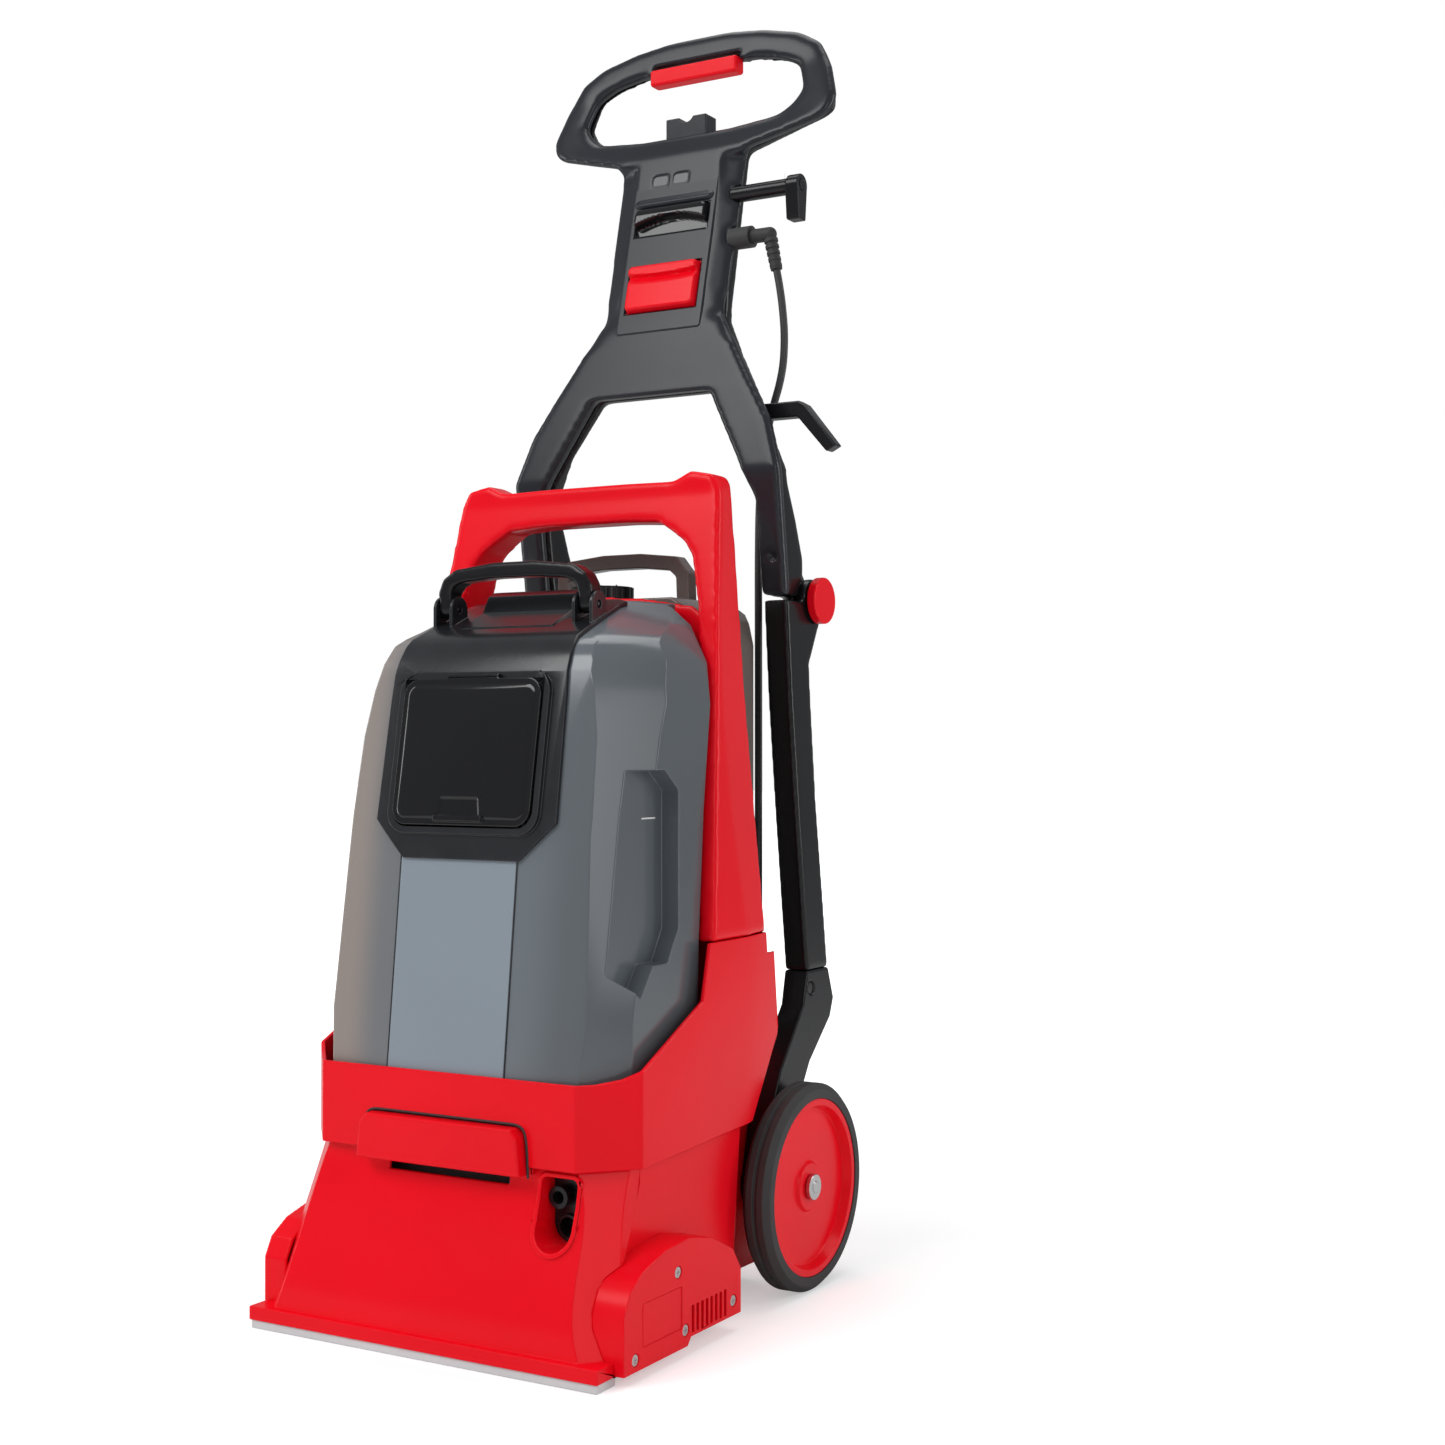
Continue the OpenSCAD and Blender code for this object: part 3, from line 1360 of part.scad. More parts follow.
// A round tube along a path of points.
module tube(path, r, sides) {
    n = len(path);
    points = [for (i = [0:n - 1]) each ring(path, i, r, sides)];
    walls = [for (i = [0:n - 2], k = [0:sides - 1]) [
        i * sides + k, i * sides + (k + 1) % sides,
        (i + 1) * sides + (k + 1) % sides, (i + 1) * sides + k
    ]];
    polyhedron(points, concat(
        [[for (k = [sides - 1:-1:0]) k]], walls,
        [[for (k = [0:sides - 1]) (n - 1) * sides + k]]
    ));
}

module cord() color([0.13, 0.13, 0.14]) placed() tube(cord_path, cord_d / 2, 8);

module cord_coil() color([0.13, 0.13, 0.14]) placed() translate([coil_at[0], coil_at[1], 0])
    rotate_extrude($fn = 48) translate([coil_mean_r - coil_cols * cord_d / 2, 0])
        square([coil_cols * cord_d, coil_rows * cord_d]);

module cord_plug() color([0.1, 0.1, 0.1]) placed()
    translate([coil_at[0] - coil_mean_r, coil_at[1], coil_rows * cord_d]) {
        block([-11, -18, 0], [11, 20, 22]);
        for (x = [-6.5, 5]) block([x, -34, 11], [x + 1.5, -17, 17]);
        rod_y([0, 5], 2.4, -36, -17);
    }

// ---- drawing --------------------------------------------------------------------------------------------
lower_body();
nozzle_lip();
nozzle_plate();
base_pan();
spray_bar();
side_cover_right();
side_cover_left();
cover_screws();
port_panel();
fluid_coupler();
front_grip();
upper_body();
carry_frame();
tank_seal();
brush_bushes();
brush_motor();
drive_belt();
pump();
vacuum_motor();
wheel_axle();
leg_bracket_right();
leg_bracket_left();
lower_leg_right();
lower_leg_left();
leg_screws();
brush_core();
brush_bristles();
brush_pulley();
motor_pulley();
vacuum_fan();
tyre_right();
wheel_rim_right();
tyre_left();
wheel_rim_left();
recovery_tank();
tank_shroud();
hose_port();
float_cage();
float_ball();
port_door();
tank_handle();
solution_tank();
solution_cap();
valve_plunger();
handle_front();
handle_rear();
status_lenses();
hose_rest();
lower_hook();
upper_hook_arm();
hook_swivel();
strain_relief();
trigger();
power_switch();
mode_lever();
knob_right();
knob_left();
cord();
cord_coil();
cord_plug();
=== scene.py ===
"""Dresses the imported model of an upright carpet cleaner.

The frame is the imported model's: the origin lies on the floor under the middle
of the machine, +Z is up, +Y goes to the back and +X to the right as seen from in
front. The machine's own sizes are in mm, with depths counted from the nozzle's
front edge, and at() turns such a place into metres. The hard mouldings are
finished copies of the model's own solids with rounded edges; the smaller details
are modelled here.
"""

import json
import logging
import math
from dataclasses import dataclass, field
from enum import Enum
from typing import Callable, Iterable, Sequence

import bpy
from mathutils import Matrix, Vector

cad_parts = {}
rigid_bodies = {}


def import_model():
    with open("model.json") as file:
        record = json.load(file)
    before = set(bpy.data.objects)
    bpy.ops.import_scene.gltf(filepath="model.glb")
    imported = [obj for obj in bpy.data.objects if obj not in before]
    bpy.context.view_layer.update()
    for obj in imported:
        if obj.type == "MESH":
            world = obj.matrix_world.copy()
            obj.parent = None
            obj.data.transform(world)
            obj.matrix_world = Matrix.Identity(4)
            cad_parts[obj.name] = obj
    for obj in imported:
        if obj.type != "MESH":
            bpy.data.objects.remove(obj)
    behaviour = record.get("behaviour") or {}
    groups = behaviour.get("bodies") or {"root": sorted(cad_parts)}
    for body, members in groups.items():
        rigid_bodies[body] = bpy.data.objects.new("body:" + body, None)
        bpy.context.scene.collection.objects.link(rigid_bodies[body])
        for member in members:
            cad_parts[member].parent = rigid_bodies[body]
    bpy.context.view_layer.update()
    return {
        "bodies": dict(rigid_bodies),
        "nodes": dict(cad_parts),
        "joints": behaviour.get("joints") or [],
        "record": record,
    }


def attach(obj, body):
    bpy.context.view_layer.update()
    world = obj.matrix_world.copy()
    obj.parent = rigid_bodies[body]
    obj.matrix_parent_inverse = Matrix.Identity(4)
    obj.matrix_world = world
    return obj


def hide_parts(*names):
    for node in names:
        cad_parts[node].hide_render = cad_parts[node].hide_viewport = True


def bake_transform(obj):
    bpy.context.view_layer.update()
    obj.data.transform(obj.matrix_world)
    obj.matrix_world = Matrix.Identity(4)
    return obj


log = logging.getLogger("carpet_cleaner")

Point = tuple[float, float, float]
Colour = tuple[float, float, float]

MM = 0.001
MID_Y = 221.0  # depth of the origin behind the nozzle's front edge, in mm
ROOT_COLLECTION = bpy.context.scene.collection


def at(x: float, y: float, z: float) -> Vector:
    """Turns a place in mm, with its depth counted from the nozzle, into metres.

    Args:
        x: Distance to the right of the machine's middle.
        y: Depth behind the nozzle's front edge.
        z: Height over the floor.

    Returns:
        The same place in the model's frame, in metres.
    """
    return Vector((x * MM, (y - MID_Y) * MM, z * MM))


def share_of(value: float, low: float, high: float) -> float:
    """Rises evenly from 0 at low to 1 at high."""
    return min(1.0, max(0.0, (value - low) / (high - low)))


def ease(value: float, low: float, high: float) -> float:
    """Rises smoothly from 0 at low to 1 at high."""
    t = share_of(value, low, high)
    return t * t * (3 - 2 * t)


# ---- shader nodes -----------------------------------------------------------

COLOUR_SOCKET = "NodeSocketColor"
NUMBER_SOCKET = "NodeSocketFloat"
VECTOR_SOCKET = "NodeSocketVector"
MIX_FIRST, MIX_SECOND, MIX_RESULT = 6, 7, 2  # the sockets of a Mix node that mixes colours
WHITE_LIGHT = (1.0, 1.0, 1.0, 1.0)


def feed(tree: bpy.types.NodeTree, node: bpy.types.Node, inputs: dict) -> None:
    """Fills a node's inputs.

    Args:
        tree: The node tree or group.
        node: The node.
        inputs: What goes into each socket: another node's output, or a plain value.
    """
    for socket, value in inputs.items():
        if isinstance(value, bpy.types.NodeSocket):
            tree.links.new(value, node.inputs[socket])
        else:
            node.inputs[socket].default_value = value


def add_node(tree: bpy.types.NodeTree, kind: str, inputs: dict) -> bpy.types.Node:
    """Adds a node and fills its inputs.

    Args:
        tree: The node tree or group.
        kind: The node's kind, without Blender's prefix.
        inputs: What goes into its sockets, as for feed().

    Returns:
        The node.
    """
    node = tree.nodes.new("ShaderNode" + kind)
    feed(tree, node, inputs)
    return node


def calculate(tree: bpy.types.NodeTree, operation: str, *terms: object) -> bpy.types.NodeSocket:
    """Adds a sum or a product.

    Args:
        tree: The node tree or group.
        operation: Blender's name of the operation.
        terms: Its terms, each a number or another node's output.

    Returns:
        The output.
    """
    node = tree.nodes.new("ShaderNodeMath")
    node.operation = operation
    feed(tree, node, dict(enumerate(terms)))
    return node.outputs[0]


def noise(tree: bpy.types.NodeTree, inputs: dict) -> bpy.types.NodeSocket:
    """Adds a cloudy texture, with its inputs filled as by feed(), and returns its output."""
    return add_node(tree, "TexNoise", inputs).outputs["Fac"]


def stretch(
    tree: bpy.types.NodeTree,
    value: bpy.types.NodeSocket,
    low: float,
    high: float,
    lowest: float = 0.0,
) -> bpy.types.NodeSocket:
    """Stretches a value evenly over a span, and holds it past both ends.

    Args:
        tree: The node tree or group.
        value: The value's output.
        low: Where the span starts.
        high: Where the span ends, and the output is 1.
        lowest: The output where the span starts.

    Returns:
        The output.
    """
    span = {"Value": value, "From Min": low, "From Max": high, "To Min": lowest, "To Max": 1.0}
    return add_node(tree, "MapRange", span).outputs["Result"]


def mix_colours(
    tree: bpy.types.NodeTree, share: object, first: object, second: object
) -> bpy.types.NodeSocket:
    """Mixes two colours.

    Args:
        tree: The node tree or group.
        share: How much of the second there is: a number or an output.
        first: The first colour.
        second: The second colour.

    Returns:
        The mixed colour's output.
    """
    node = tree.nodes.new("ShaderNodeMix")
    node.data_type = "RGBA"
    feed(tree, node, {"Factor": share, MIX_FIRST: first, MIX_SECOND: second})
    return node.outputs[MIX_RESULT]


class Effect(Enum):
    """Shader node groups that several finishes share."""

    GRAIN = "moulded_grain"
    WEAR = "edge_wear_and_highlight"
    MOTTLE = "colour_mottle"


class EffectLibrary:
    """Builds the shared node groups once and hands them out."""

    broad_scale: float = 14.0  # patches in which the roughness wanders, per metre
    patch_scale: float = 38.0  # patches in which the edge scuffing and painted highlight come and go, per metre
    edge_span: tuple[float, float] = (0.515, 0.60)  # pointiness where the edge scuffing and painted highlight begin and are full
    patch_span: tuple[float, float] = (0.42, 0.62)  # where a patch of scuffing and painted highlight begins and is full
    mottle_span: tuple[float, float] = (0.35, 0.65)  # where the second colour begins and is full

    def __init__(self) -> None:
        """Makes the groups."""
        self.trees: dict[Effect, bpy.types.NodeTree] = {
            Effect.GRAIN: self._grain(),
            Effect.WEAR: self._wear_and_highlight(),
            Effect.MOTTLE: self._mottle(),
        }

    @staticmethod
    def _new(effect: Effect, inputs: dict, outputs: dict[str, str]) -> bpy.types.NodeTree:
        """Makes a group with its outer sockets and nothing between them.

        Args:
            effect: Which group it is.
            inputs: Names of its inputs, besides the coordinates, with their defaults.
            outputs: Names of its outputs, with their kinds.

        Returns:
            The group, whose end nodes are named in and out.
        """
        tree = bpy.data.node_groups.new(effect.value, "ShaderNodeTree")
        tree.nodes.new("NodeGroupInput").name = "in"
        tree.nodes.new("NodeGroupOutput").name = "out"
        tree.interface.new_socket(name="Vector", in_out="INPUT", socket_type=VECTOR_SOCKET)
        for name, value in inputs.items():
            kind = COLOUR_SOCKET if isinstance(value, tuple) else NUMBER_SOCKET
            socket = tree.interface.new_socket(name=name, in_out="INPUT", socket_type=kind)
            socket.default_value = value
        for name, kind in outputs.items():
            tree.interface.new_socket(name=name, in_out="OUTPUT", socket_type=kind)
        return tree

    def _grain(self) -> bpy.types.NodeTree:
        """The fine spark-eroded texture of a moulded face, as a height and a roughness."""
        tree = self._new(
            Effect.GRAIN, {"Scale": 900.0, "Roughness": 0.4, "Spread": 0.06},
            {"Height": NUMBER_SOCKET, "Roughness": NUMBER_SOCKET},
        )
        given = tree.nodes["in"].outputs
        fine = noise(tree, {
            "Vector": given["Vector"], "Scale": given["Scale"], "Detail": 3.0, "Roughness": 0.6,
        })
        broad = noise(tree, {"Vector": given["Vector"], "Scale": self.broad_scale, "Detail": 4.0})
        centred = calculate(tree, "SUBTRACT", broad, 0.5)
        roughness = calculate(
            tree, "MULTIPLY_ADD", centred, given["Spread"], given["Roughness"])
        feed(tree, tree.nodes["out"], {"Height": fine, "Roughness": roughness})
        return tree

    def _wear_and_highlight(self) -> bpy.types.NodeTree:
        """Lays a lighter colour along raised edges, in patches: partly scuffing, partly a painted
        highlight where edges catch the light.
        """
        tree = self._new(
            Effect.WEAR,
            {"Colour": (0.5, 0.5, 0.5, 1.0), "Scuffed_and_highlit": (0.8, 0.8, 0.8, 1.0), "Amount": 0.3},
            {"Colour": COLOUR_SOCKET},
        )
        given = tree.nodes["in"].outputs
        raised_edge = add_node(tree, "NewGeometry", {}).outputs["Pointiness"]
        ridge = stretch(tree, raised_edge, *self.edge_span)
        patch = noise(tree, {"Vector": given["Vector"], "Scale": self.patch_scale, "Detail": 5.0})
        gate = stretch(tree, patch, *self.patch_span)
        both = calculate(tree, "MULTIPLY", ridge, gate)
        level = calculate(tree, "MULTIPLY", both, given["Amount"])
        worn_and_highlit = mix_colours(tree, level, given["Colour"], given["Scuffed_and_highlit"])
        feed(tree, tree.nodes["out"], {"Colour": worn_and_highlit})
        return tree

    def _mottle(self) -> bpy.types.NodeTree:
        """Varies a colour a little over a hand's width."""
        tree = self._new(
            Effect.MOTTLE,
            {"Colour": (0.5, 0.5, 0.5, 1.0), "Second": (0.4, 0.4, 0.4, 1.0), "Scale": 6.0},
            {"Colour": COLOUR_SOCKET},
        )
        given = tree.nodes["in"].outputs
        cloud = noise(
            tree, {"Vector": given["Vector"], "Scale": given["Scale"], "Detail": 3.0})
        spread = stretch(tree, cloud, *self.mottle_span)
        mottled = mix_colours(tree, spread, given["Colour"], given["Second"])
        feed(tree, tree.nodes["out"], {"Colour": mottled})
        return tree

    def place(
        self, tree: bpy.types.NodeTree, effect: Effect, inputs: dict
    ) -> bpy.types.NodeOutputs:
        """Places a group in a material.

        Args:
            tree: The material's node tree.
            effect: The group to place.
            inputs: What goes into its sockets, as for feed().

        Returns:
            The group's outputs.
        """
        node = tree.nodes.new("ShaderNodeGroup")
        node.node_tree = self.trees[effect]
        feed(tree, node, inputs)
        return node.outputs


# ---- finishes ---------------------------------------------------------------

COAT_ROUGHNESS = 0.06


@dataclass(frozen=True)
class Finish:
    """A moulded, rubber or metal surface.

    Args:
        name: Name of the material.
        slot: The record's material slot; not used.
        colour: Base colour.
        second: Colour of the broad mottling.
        rubbed_and_highlight: Colour of raised edges: partly scuffed, partly a painted highlight.
        roughness: Mean roughness.
        spread: How far the roughness wanders.
        grain: Frequency of the fine texture, per metre.
        depth: Height of the fine texture, in metres.
        wear_and_highlight: How much of that lighter edge colour, scuffing and painted highlight, is
            laid on.
        metallic: 1 for a metal.
        coat: Weight of a clear gloss layer.
        specular: Specular level.
        mottle: Frequency of the broad mottling, per metre.
    """

    name: str
    slot: str
    colour: Colour
    second: Colour
    rubbed_and_highlight: Colour = (0.6, 0.6, 0.6)
    roughness: float = 0.4
    spread: float = 0.08
    grain: float = 1400.0
    depth: float = 0.00002
    wear_and_highlight: float = 0.2
    metallic: float = 0.0
    coat: float = 0.0
    specular: float = 0.5
    mottle: float = 6.0

    def build(self, effects: EffectLibrary) -> bpy.types.Material:
        """Makes the material.

        Args:
            effects: The shared node groups.

        Returns:
            The finished material.
        """
        material = bpy.data.materials.new(self.name)
        material.use_nodes = True
        tree = material.node_tree
        place = add_node(tree, "TexCoord", {}).outputs["Object"]
        mottle = effects.place(tree, Effect.MOTTLE, {
            "Vector": place, "Colour": (*self.colour, 1.0), "Second": (*self.second, 1.0),
            "Scale": self.mottle,
        })
        # Raised edges get a lighter colour: partly scuffing, partly painted highlight.
        wear_and_highlight = effects.place(tree, Effect.WEAR, {
            "Vector": place, "Colour": mottle["Colour"], "Scuffed_and_highlit": (*self.rubbed_and_highlight, 1.0),
            "Amount": self.wear_and_highlight,
        })
        grain = effects.place(tree, Effect.GRAIN, {
            "Vector": place, "Scale": self.grain, "Roughness": self.roughness,
            "Spread": self.spread,
        })
        bump = add_node(tree, "Bump", {
            "Strength": 1.0, "Distance": self.depth, "Height": grain["Height"],
        })
        feed(tree, tree.nodes["Principled BSDF"], {
            "Base Color": wear_and_highlight["Colour"], "Roughness": grain["Roughness"],
            "Metallic": self.metallic, "Specular IOR Level": self.specular,
            "Coat Weight": self.coat, "Coat Roughness": COAT_ROUGHNESS,
            "Normal": bump.outputs["Normal"],
        })
        return material


# Each finish's lighter edge colour paints highlights on raised edges as well as scuffing.
RED = Finish("red_moulding", "red_plastic", (0.94, 0.003, 0.014), (0.88, 0.003, 0.012),
             rubbed_and_highlight=(0.9, 0.03, 0.04), roughness=0.25, wear_and_highlight=0.1, specular=0.17)
SLATE = Finish("slate_moulding", "slate_plastic", (0.023, 0.0255, 0.031), (0.019, 0.021, 0.026),
               rubbed_and_highlight=(0.10, 0.11, 0.125), roughness=0.24, depth=0.00001, wear_and_highlight=0.15,
               specular=0.3)
BLACK = Finish("black_moulding", "black_plastic", (0.009, 0.009, 0.0105), (0.0065, 0.0065, 0.0075),
               rubbed_and_highlight=(0.04, 0.04, 0.045), roughness=0.22, wear_and_highlight=0.3, specular=0.32)
PANEL = Finish("dark_panel_moulding", "dark_panel", (0.018, 0.0195, 0.0225), (0.014, 0.015, 0.0175),
               rubbed_and_highlight=(0.08, 0.08, 0.09), roughness=0.22, wear_and_highlight=0.3, specular=0.5)
GLOSS = Finish("gloss_black", "gloss_black", (0.006, 0.006, 0.007), (0.008, 0.008, 0.009),
               rubbed_and_highlight=(0.03, 0.03, 0.03), roughness=0.1, spread=0.04, depth=0.000004,
               wear_and_highlight=0.1, specular=0.5)
AMBER = Finish("clear_tank_wall", "clear_tank", (0.17, 0.14, 0.125), (0.13, 0.115, 0.105),
               rubbed_and_highlight=(0.3, 0.28, 0.26), roughness=0.2, spread=0.05, depth=0.000008,
               wear_and_highlight=0.1, coat=0.4, mottle=3.0)
PALE = Finish("pale_lip_moulding", "pale_lip", (0.72, 0.73, 0.74), (0.64, 0.65, 0.66),
              rubbed_and_highlight=(0.85, 0.85, 0.85), roughness=0.45)
INNER = Finish("inner_moulding", "inner_plastic", (0.035, 0.035, 0.038), (0.028, 0.028, 0.03),
               rubbed_and_highlight=(0.1, 0.1, 0.1), roughness=0.5)
WHITE = Finish("white_moulding", "white_plastic", (0.8, 0.8, 0.78), (0.72, 0.72, 0.7),
               rubbed_and_highlight=(0.9, 0.9, 0.9), roughness=0.4)
ORANGE = Finish("float_moulding", "orange_ball", (0.85, 0.27, 0.03), (0.75, 0.22, 0.02),
                rubbed_and_highlight=(0.9, 0.5, 0.2), roughness=0.4)
BRISTLE = Finish("nylon_bristle", "bristle", (0.7, 0.7, 0.7), (0.5, 0.5, 0.52),
                 rubbed_and_highlight=(0.9, 0.9, 0.9), roughness=0.6, grain=2600.0, depth=0.0004)
LENS = Finish("status_window", "lens", (0.10, 0.105, 0.11), (0.085, 0.09, 0.095),
              rubbed_and_highlight=(0.2, 0.2, 0.2), roughness=0.3)
STEEL = Finish("bright_steel", "steel", (0.62, 0.62, 0.61), (0.55, 0.55, 0.55),
               rubbed_and_highlight=(0.8, 0.8, 0.8), roughness=0.24, metallic=1.0)
DARK_STEEL = Finish("black_steel", "black_steel", (0.05, 0.05, 0.05), (0.04, 0.04, 0.04),
                    rubbed_and_highlight=(0.3, 0.3, 0.3), roughness=0.35, metallic=1.0)
CAST = Finish("cast_metal", "motor_metal", (0.32, 0.32, 0.33), (0.26, 0.26, 0.27),
              rubbed_and_highlight=(0.6, 0.6, 0.6), roughness=0.5, metallic=1.0, depth=0.0001)
BRONZE = Finish("sintered_bronze", "bronze", (0.5, 0.33, 0.13), (0.42, 0.28, 0.11),
                rubbed_and_highlight=(0.7, 0.5, 0.25), roughness=0.4, metallic=1.0)
TYRE = Finish("tyre_rubber", "tyre", (0.024, 0.024, 0.025), (0.034, 0.034, 0.035),
              rubbed_and_highlight=(0.1, 0.1, 0.1), roughness=0.62, depth=0.00006, mottle=20.0)
RUBBER = Finish("soft_rubber", "rubber", (0.02, 0.02, 0.021), (0.03, 0.03, 0.03),
                rubbed_and_highlight=(0.08, 0.08, 0.08), roughness=0.6, depth=0.00004)
JACKET = Finish("cord_jacket", "cord_jacket", (0.03, 0.03, 0.032), (0.024, 0.024, 0.026),
                rubbed_and_highlight=(0.08, 0.08, 0.08), roughness=0.42, depth=0.00003, mottle=30.0)


@dataclass(frozen=True)
class TankFinish(Finish):
    """A smoky tank wall with painted light and shade across it: lighter and warm brown at the left,
    towards the key lamp, and darker towards the right, the side turned from it.

    Args:
        light_and_shade_bands: Places across the tank, in mm, each with the colour of its painted
            light and shade.
        light_and_shade: Share of the bands' painted light and shade in the wall's colour.
    """

    light_and_shade_bands: tuple[tuple[float, Colour], ...] = ()
    light_and_shade: float = 0.8

    def build(self, effects: EffectLibrary) -> bpy.types.Material:
        """Makes the material and paints light and shade into it across the tank.

        Args:
            effects: The shared node groups.

        Returns:
            The finished material.
        """
        material = super().build(effects)
        tree = material.node_tree
        shader = tree.nodes["Principled BSDF"]
        plain = shader.inputs["Base Color"].links[0].from_socket
        place = add_node(tree, "TexCoord", {}).outputs["Object"]
        axes = add_node(tree, "SeparateXYZ", {0: place})
        first, last = self.light_and_shade_bands[0][0], self.light_and_shade_bands[-1][0]
        across = stretch(tree, axes.outputs["X"], first * MM, last * MM)
        ramp = add_node(tree, "ValToRGB", {"Fac": across})
        ramp.color_ramp.interpolation = "EASE"
        while len(ramp.color_ramp.elements) < len(self.light_and_shade_bands):
            ramp.color_ramp.elements.new(0.5)
        for element, (x, light_and_shade) in zip(ramp.color_ramp.elements, self.light_and_shade_bands):
            element.position = (x - first) / (last - first)
            element.color = (*light_and_shade, 1.0)
        lit_and_shaded = mix_colours(tree, self.light_and_shade, plain, ramp.outputs["Color"])
        feed(tree, shader, {"Base Color": lit_and_shaded})
        return material


# The bands paint light and shade across the tank: lighter, brown at the left, towards the key lamp,
# and darker towards the right, turned from it.
SMOKE = TankFinish(
    "smoke_tank", "smoke_clear", (0.12, 0.14, 0.155), (0.095, 0.11, 0.125),
    rubbed_and_highlight=(0.26, 0.28, 0.3), roughness=0.17, spread=0.05, depth=0.000008, wear_and_highlight=0.15,
    specular=0.6, mottle=3.0,
    light_and_shade_bands=(
        (-150.0, (0.40, 0.325, 0.28)), (-112.0, (0.36, 0.30, 0.265)),
        (-72.0, (0.20, 0.205, 0.215)), (0.0, (0.20, 0.23, 0.26)),
        (62.0, (0.17, 0.195, 0.215)), (108.0, (0.125, 0.14, 0.155)),
        (150.0, (0.10, 0.115, 0.125)),
    ),
)
TANK_PANEL = Finish("tank_panel", "smoke_clear", (0.27, 0.315, 0.36), (0.24, 0.28, 0.325),
                    rubbed_and_highlight=(0.3, 0.33, 0.36), roughness=0.22, spread=0.05, depth=0.000008,
                    wear_and_highlight=0.2, specular=0.5, mottle=3.0)
WEBBING = Finish("woven_tie", "rubber", (0.02, 0.02, 0.021), (0.03, 0.03, 0.031),
                 rubbed_and_highlight=(0.06, 0.06, 0.06), roughness=0.8, grain=1500.0, depth=0.0003,
                 specular=0.2, mottle=90.0)


